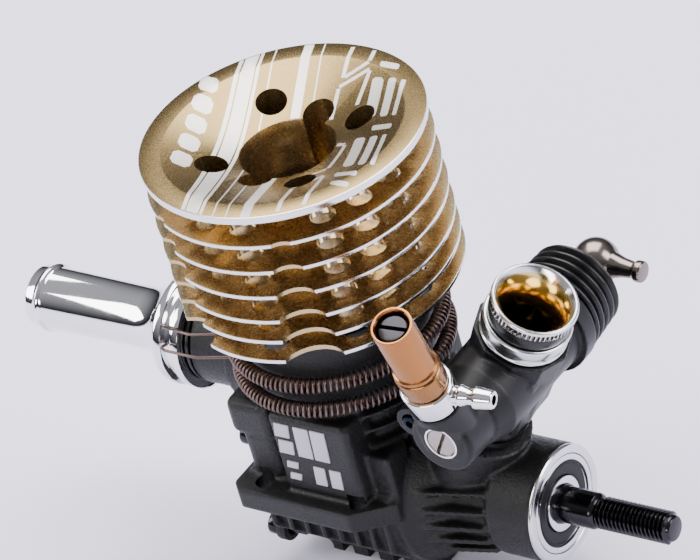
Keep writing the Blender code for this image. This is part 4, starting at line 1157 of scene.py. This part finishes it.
@dataclass
class Exhaust:
    """Header pipe, gasket and the two coil springs that hold it."""

    spring_levels: tuple[float, float] = (34.8, 29.2)
    ring_radius: float = 20.1
    coil_radius: float = 1.28
    wire_radius: float = 0.3
    pitch: float = 1.05
    half_angle: float = 150.0
    steps_per_turn: int = 14

    def header(self) -> None:
        """Mirror-bright header with its flanges, beads and open end."""
        tube = 6.2
        outline = [
            (9.6, 32.4), (11.2, 32.6), (11.2, 34.4), (10.0, 34.8), (10.0, 36.4), (11.2, 36.8),
            (11.2, 38.6), (10.4, 39.2), (8.6, 40.4), (7.4, 42.5), (6.6, 44.6), (tube, 47.0), (tube, 70.2),
            (tube + 0.6, 70.8), (tube + 0.6, 71.3), (tube, 71.9), (tube, 74.0), (tube - 0.9, 74.0),
            (tube - 0.9, 40.0), (6.4, 38.0), (6.4, 32.4),
        ]
        Turning("header_pipe", outline, POLISHED, PORT_AXIS, "port", Body.BLOCK, ("exhaust_header",), 128,
                0.3).make()
        Turning("port_gasket", ring(6.2, 9.4, 31.3, 32.1), RUBBER, PORT_AXIS, "port", Body.BLOCK,
                ("exhaust_gasket",), 96).make()

    def coil_points(self, level: float) -> list[Vector]:
        """Points of one spring: hook, helix round the tower, hook."""
        half = math.radians(self.half_angle)
        length = 2 * half * self.ring_radius
        turns = round(length / self.pitch)
        count = turns * self.steps_per_turn
        helix = []
        for index in range(count + 1):
            t = index / count
            angle = -half + 2 * half * t
            phase = 2 * math.pi * turns * t
            reach = self.ring_radius + self.coil_radius * math.cos(phase)
            height = level + self.coil_radius * math.sin(phase)
            helix.append(Vector((reach * math.cos(angle), reach * math.sin(angle), height)))
        port = PORT_AXIS.translation.z
        out = Vector((-12.6, level - port)).normalized()
        hook = [Vector((-19.6, -10.6, level)), Vector((-26.0, -12.6, level))]
        for x, reach in ((-33.8, 13.4), (-34.9, 12.8), (-35.5, 11.9), (-35.6, 10.3)):
            hook.append(Vector((x, out.x * reach, port + out.y * reach)))
        far_hook = [Vector((point.x, -point.y, point.z)) for point in hook]
        return hook[::-1] + helix + far_hook

    def spring(self, name: str, level: float, node: str) -> None:
        """Wind one spring's wire as a tube."""
        curve = bpy.data.curves.new(name, "CURVE")
        curve.dimensions = "3D"
        curve.bevel_depth = self.wire_radius
        curve.bevel_resolution = 1
        curve.use_fill_caps = True
        points = self.coil_points(CRANK_Z + level)
        line = curve.splines.new("POLY")
        line.points.add(len(points) - 1)
        for slot, point in zip(line.points, points):
            slot.co = (*point, 1.0)
        path = bpy.data.objects.new("spring_path", curve)
        bpy.context.scene.collection.objects.link(path)
        bpy.context.view_layer.update()
        mesh = bpy.data.meshes.new_from_object(path.evaluated_get(bpy.context.evaluated_depsgraph_get()))
        bpy.data.objects.remove(path)
        mesh.materials.clear()
        mesh.materials.append(SPRING.material())
        obj = bpy.data.objects.new(name, mesh)
        bpy.context.scene.collection.objects.link(obj)
        finished(obj, Body.BLOCK, "spring_steel", node, angle=70)

    def make(self) -> None:
        """Build every piece of the exhaust."""
        self.header()
        upper, lower = self.spring_levels
        self.spring("coil_spring_upper", upper, "exhaust_spring_upper")
        self.spring("coil_spring_lower", lower, "exhaust_spring_lower")


INNER_FINISHES = {
    "cylinder_liner": BEARING,
    "piston": FORGED,
    "wrist_pin": BEARING,
    "wrist_pin_clip_front": SPRING,
    "wrist_pin_clip_rear": SPRING,
    "connecting_rod": FORGED,
    "big_end_bush": BRASS,
    "head_button": BRASS,
    "head_gasket": COPPER,
    "glow_plug_washer": COPPER,
    "rear_bearing_outer_race": BEARING,
    "rear_bearing_inner_race": BEARING,
    "rear_bearing_balls": BEARING,
    "front_bearing_balls": BEARING,
    "carb_base_seal": RUBBER,
}


def dress_inner_parts(nodes: dict[str, bpy.types.Object]) -> None:
    """Give the nodes inside the case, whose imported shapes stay, their finishes."""
    for name, finish in INNER_FINISHES.items():
        mesh = nodes[name].data
        if not mesh.materials:
            mesh.materials.append(None)
        for index in range(len(mesh.materials)):
            mesh.materials[index] = finish.material()
        LOG.info("%s: packed shape, %s", name, finish.name)


@dataclass
class Studio:
    """Pale floor, soft lights and the camera."""

    position: Vector = field(default_factory=lambda: Vector((469.84, -502.12, 536.39)))
    aim: Vector = field(default_factory=lambda: Vector((5.1, 0.6, 61.9)))
    roll: float = math.radians(-16.27)
    lens_mm: float = 232.17
    floor_half: float = 3.0
    floor_gap: float = 0.0004
    floor_colour: str = "#e9e7fb"
    room_strength: float = 0.6
    room_stops: tuple[tuple[float, str], ...] = ((0.02, "#2b2b33"), (0.75, "#eeeef4"))
    lit_point: Vector = field(default_factory=lambda: Vector((0, 0, 0.05)))

    def camera(self) -> None:
        """Long lens above the near front corner, rolled a little."""
        forward = (self.aim - self.position).normalized()
        level = forward.cross(Vector((0, 0, 1))).normalized()
        upright = level.cross(forward)
        right = level * math.cos(self.roll) + upright * math.sin(self.roll)
        up = upright * math.cos(self.roll) - level * math.sin(self.roll)
        data = bpy.data.cameras.new("camera")
        data.lens = self.lens_mm
        data.sensor_width = 36.0
        data.clip_start = 0.05
        obj = bpy.data.objects.new("camera", data)
        turn = Matrix((right, up, -forward)).transposed().to_4x4()
        obj.matrix_world = Matrix.Translation(self.position * MM) @ turn
        bpy.context.scene.collection.objects.link(obj)
        bpy.context.scene.camera = obj

    def floor(self) -> None:
        """Wide pale sheet under the engine."""
        bm = bmesh.new()
        bmesh.ops.create_grid(bm, x_segments=1, y_segments=1, size=self.floor_half)
        material = bpy.data.materials.new("pale_backdrop_card")
        material.use_nodes = True
        shader = material.node_tree.nodes["Principled BSDF"]
        shader.inputs["Base Color"].default_value = linear(self.floor_colour)
        shader.inputs["Roughness"].default_value = 0.6
        floor = as_object("floor", bm, [material])
        floor.location.z = -self.floor_gap

    def light(self, name: str, place: Sequence[float], size: tuple[float, float], power: float, colour: str):
        """A soft rectangular light that faces the engine."""
        data = bpy.data.lights.new(name, "AREA")
        data.shape = "RECTANGLE"
        data.size, data.size_y = size
        data.energy = power
        data.color = linear(colour)[:3]
        obj = bpy.data.objects.new(name, data)
        obj.location = place
        obj.rotation_euler = (self.lit_point - Vector(place)).to_track_quat("-Z", "Y").to_euler()
        bpy.context.scene.collection.objects.link(obj)

    def surroundings(self) -> None:
        """Pale room above and a darker one below, so that metal has something to mirror."""
        world = bpy.data.worlds.new("studio")
        world.use_nodes = True
        tree = world.node_tree
        tree.nodes.clear()
        coordinates = add_node(tree, "ShaderNodeTexCoord")
        parts = add_node(tree, "ShaderNodeSeparateXYZ", {}, {0: coordinates.outputs["Generated"]})
        ramp = add_node(tree, "ShaderNodeValToRGB", {}, {"Fac": parts.outputs["Z"]})
        for element, (position, colour) in zip(ramp.color_ramp.elements, self.room_stops):
            element.position = position
            element.color = linear(colour)
        strength = {"Strength": self.room_strength}
        background = add_node(tree, "ShaderNodeBackground", strength, {"Color": ramp.outputs["Color"]})
        output = add_node(tree, "ShaderNodeOutputWorld")
        tree.links.new(background.outputs["Background"], output.inputs["Surface"])
        bpy.context.scene.world = world

    def make(self) -> None:
        """Set up the studio."""
        self.camera()
        self.floor()
        self.surroundings()
        self.light("overhead_softbox", (-0.15, 0.35, 1.0), (0.9, 0.9), 24.0, "#ffffff")
        self.light("right_softbox", (0.95, 0.35, 0.55), (0.5, 0.8), 14.0, "#fbfbff")
        self.light("left_softbox", (-0.9, -0.5, 0.6), (0.5, 0.7), 12.0, "#ffffff")
        self.light("front_strip", (0.25, -0.95, 0.35), (0.7, 0.2), 6.0, "#fff8f0")


def main() -> None:
    """Load the frame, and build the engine's pieces and the studio."""
    logging.basicConfig(level=logging.INFO, format="%(name)s %(message)s")
    for obj in list(bpy.data.objects):
        bpy.data.objects.remove(obj, do_unlink=True)
    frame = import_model()
    for assembly in (Studio, CoolingHead, Crankcase, ShaftLine, Carburettor, NeedleStack, Exhaust):
        assembly().make()
    dress_inner_parts(frame["nodes"])


if __name__ == "__main__":
    main()
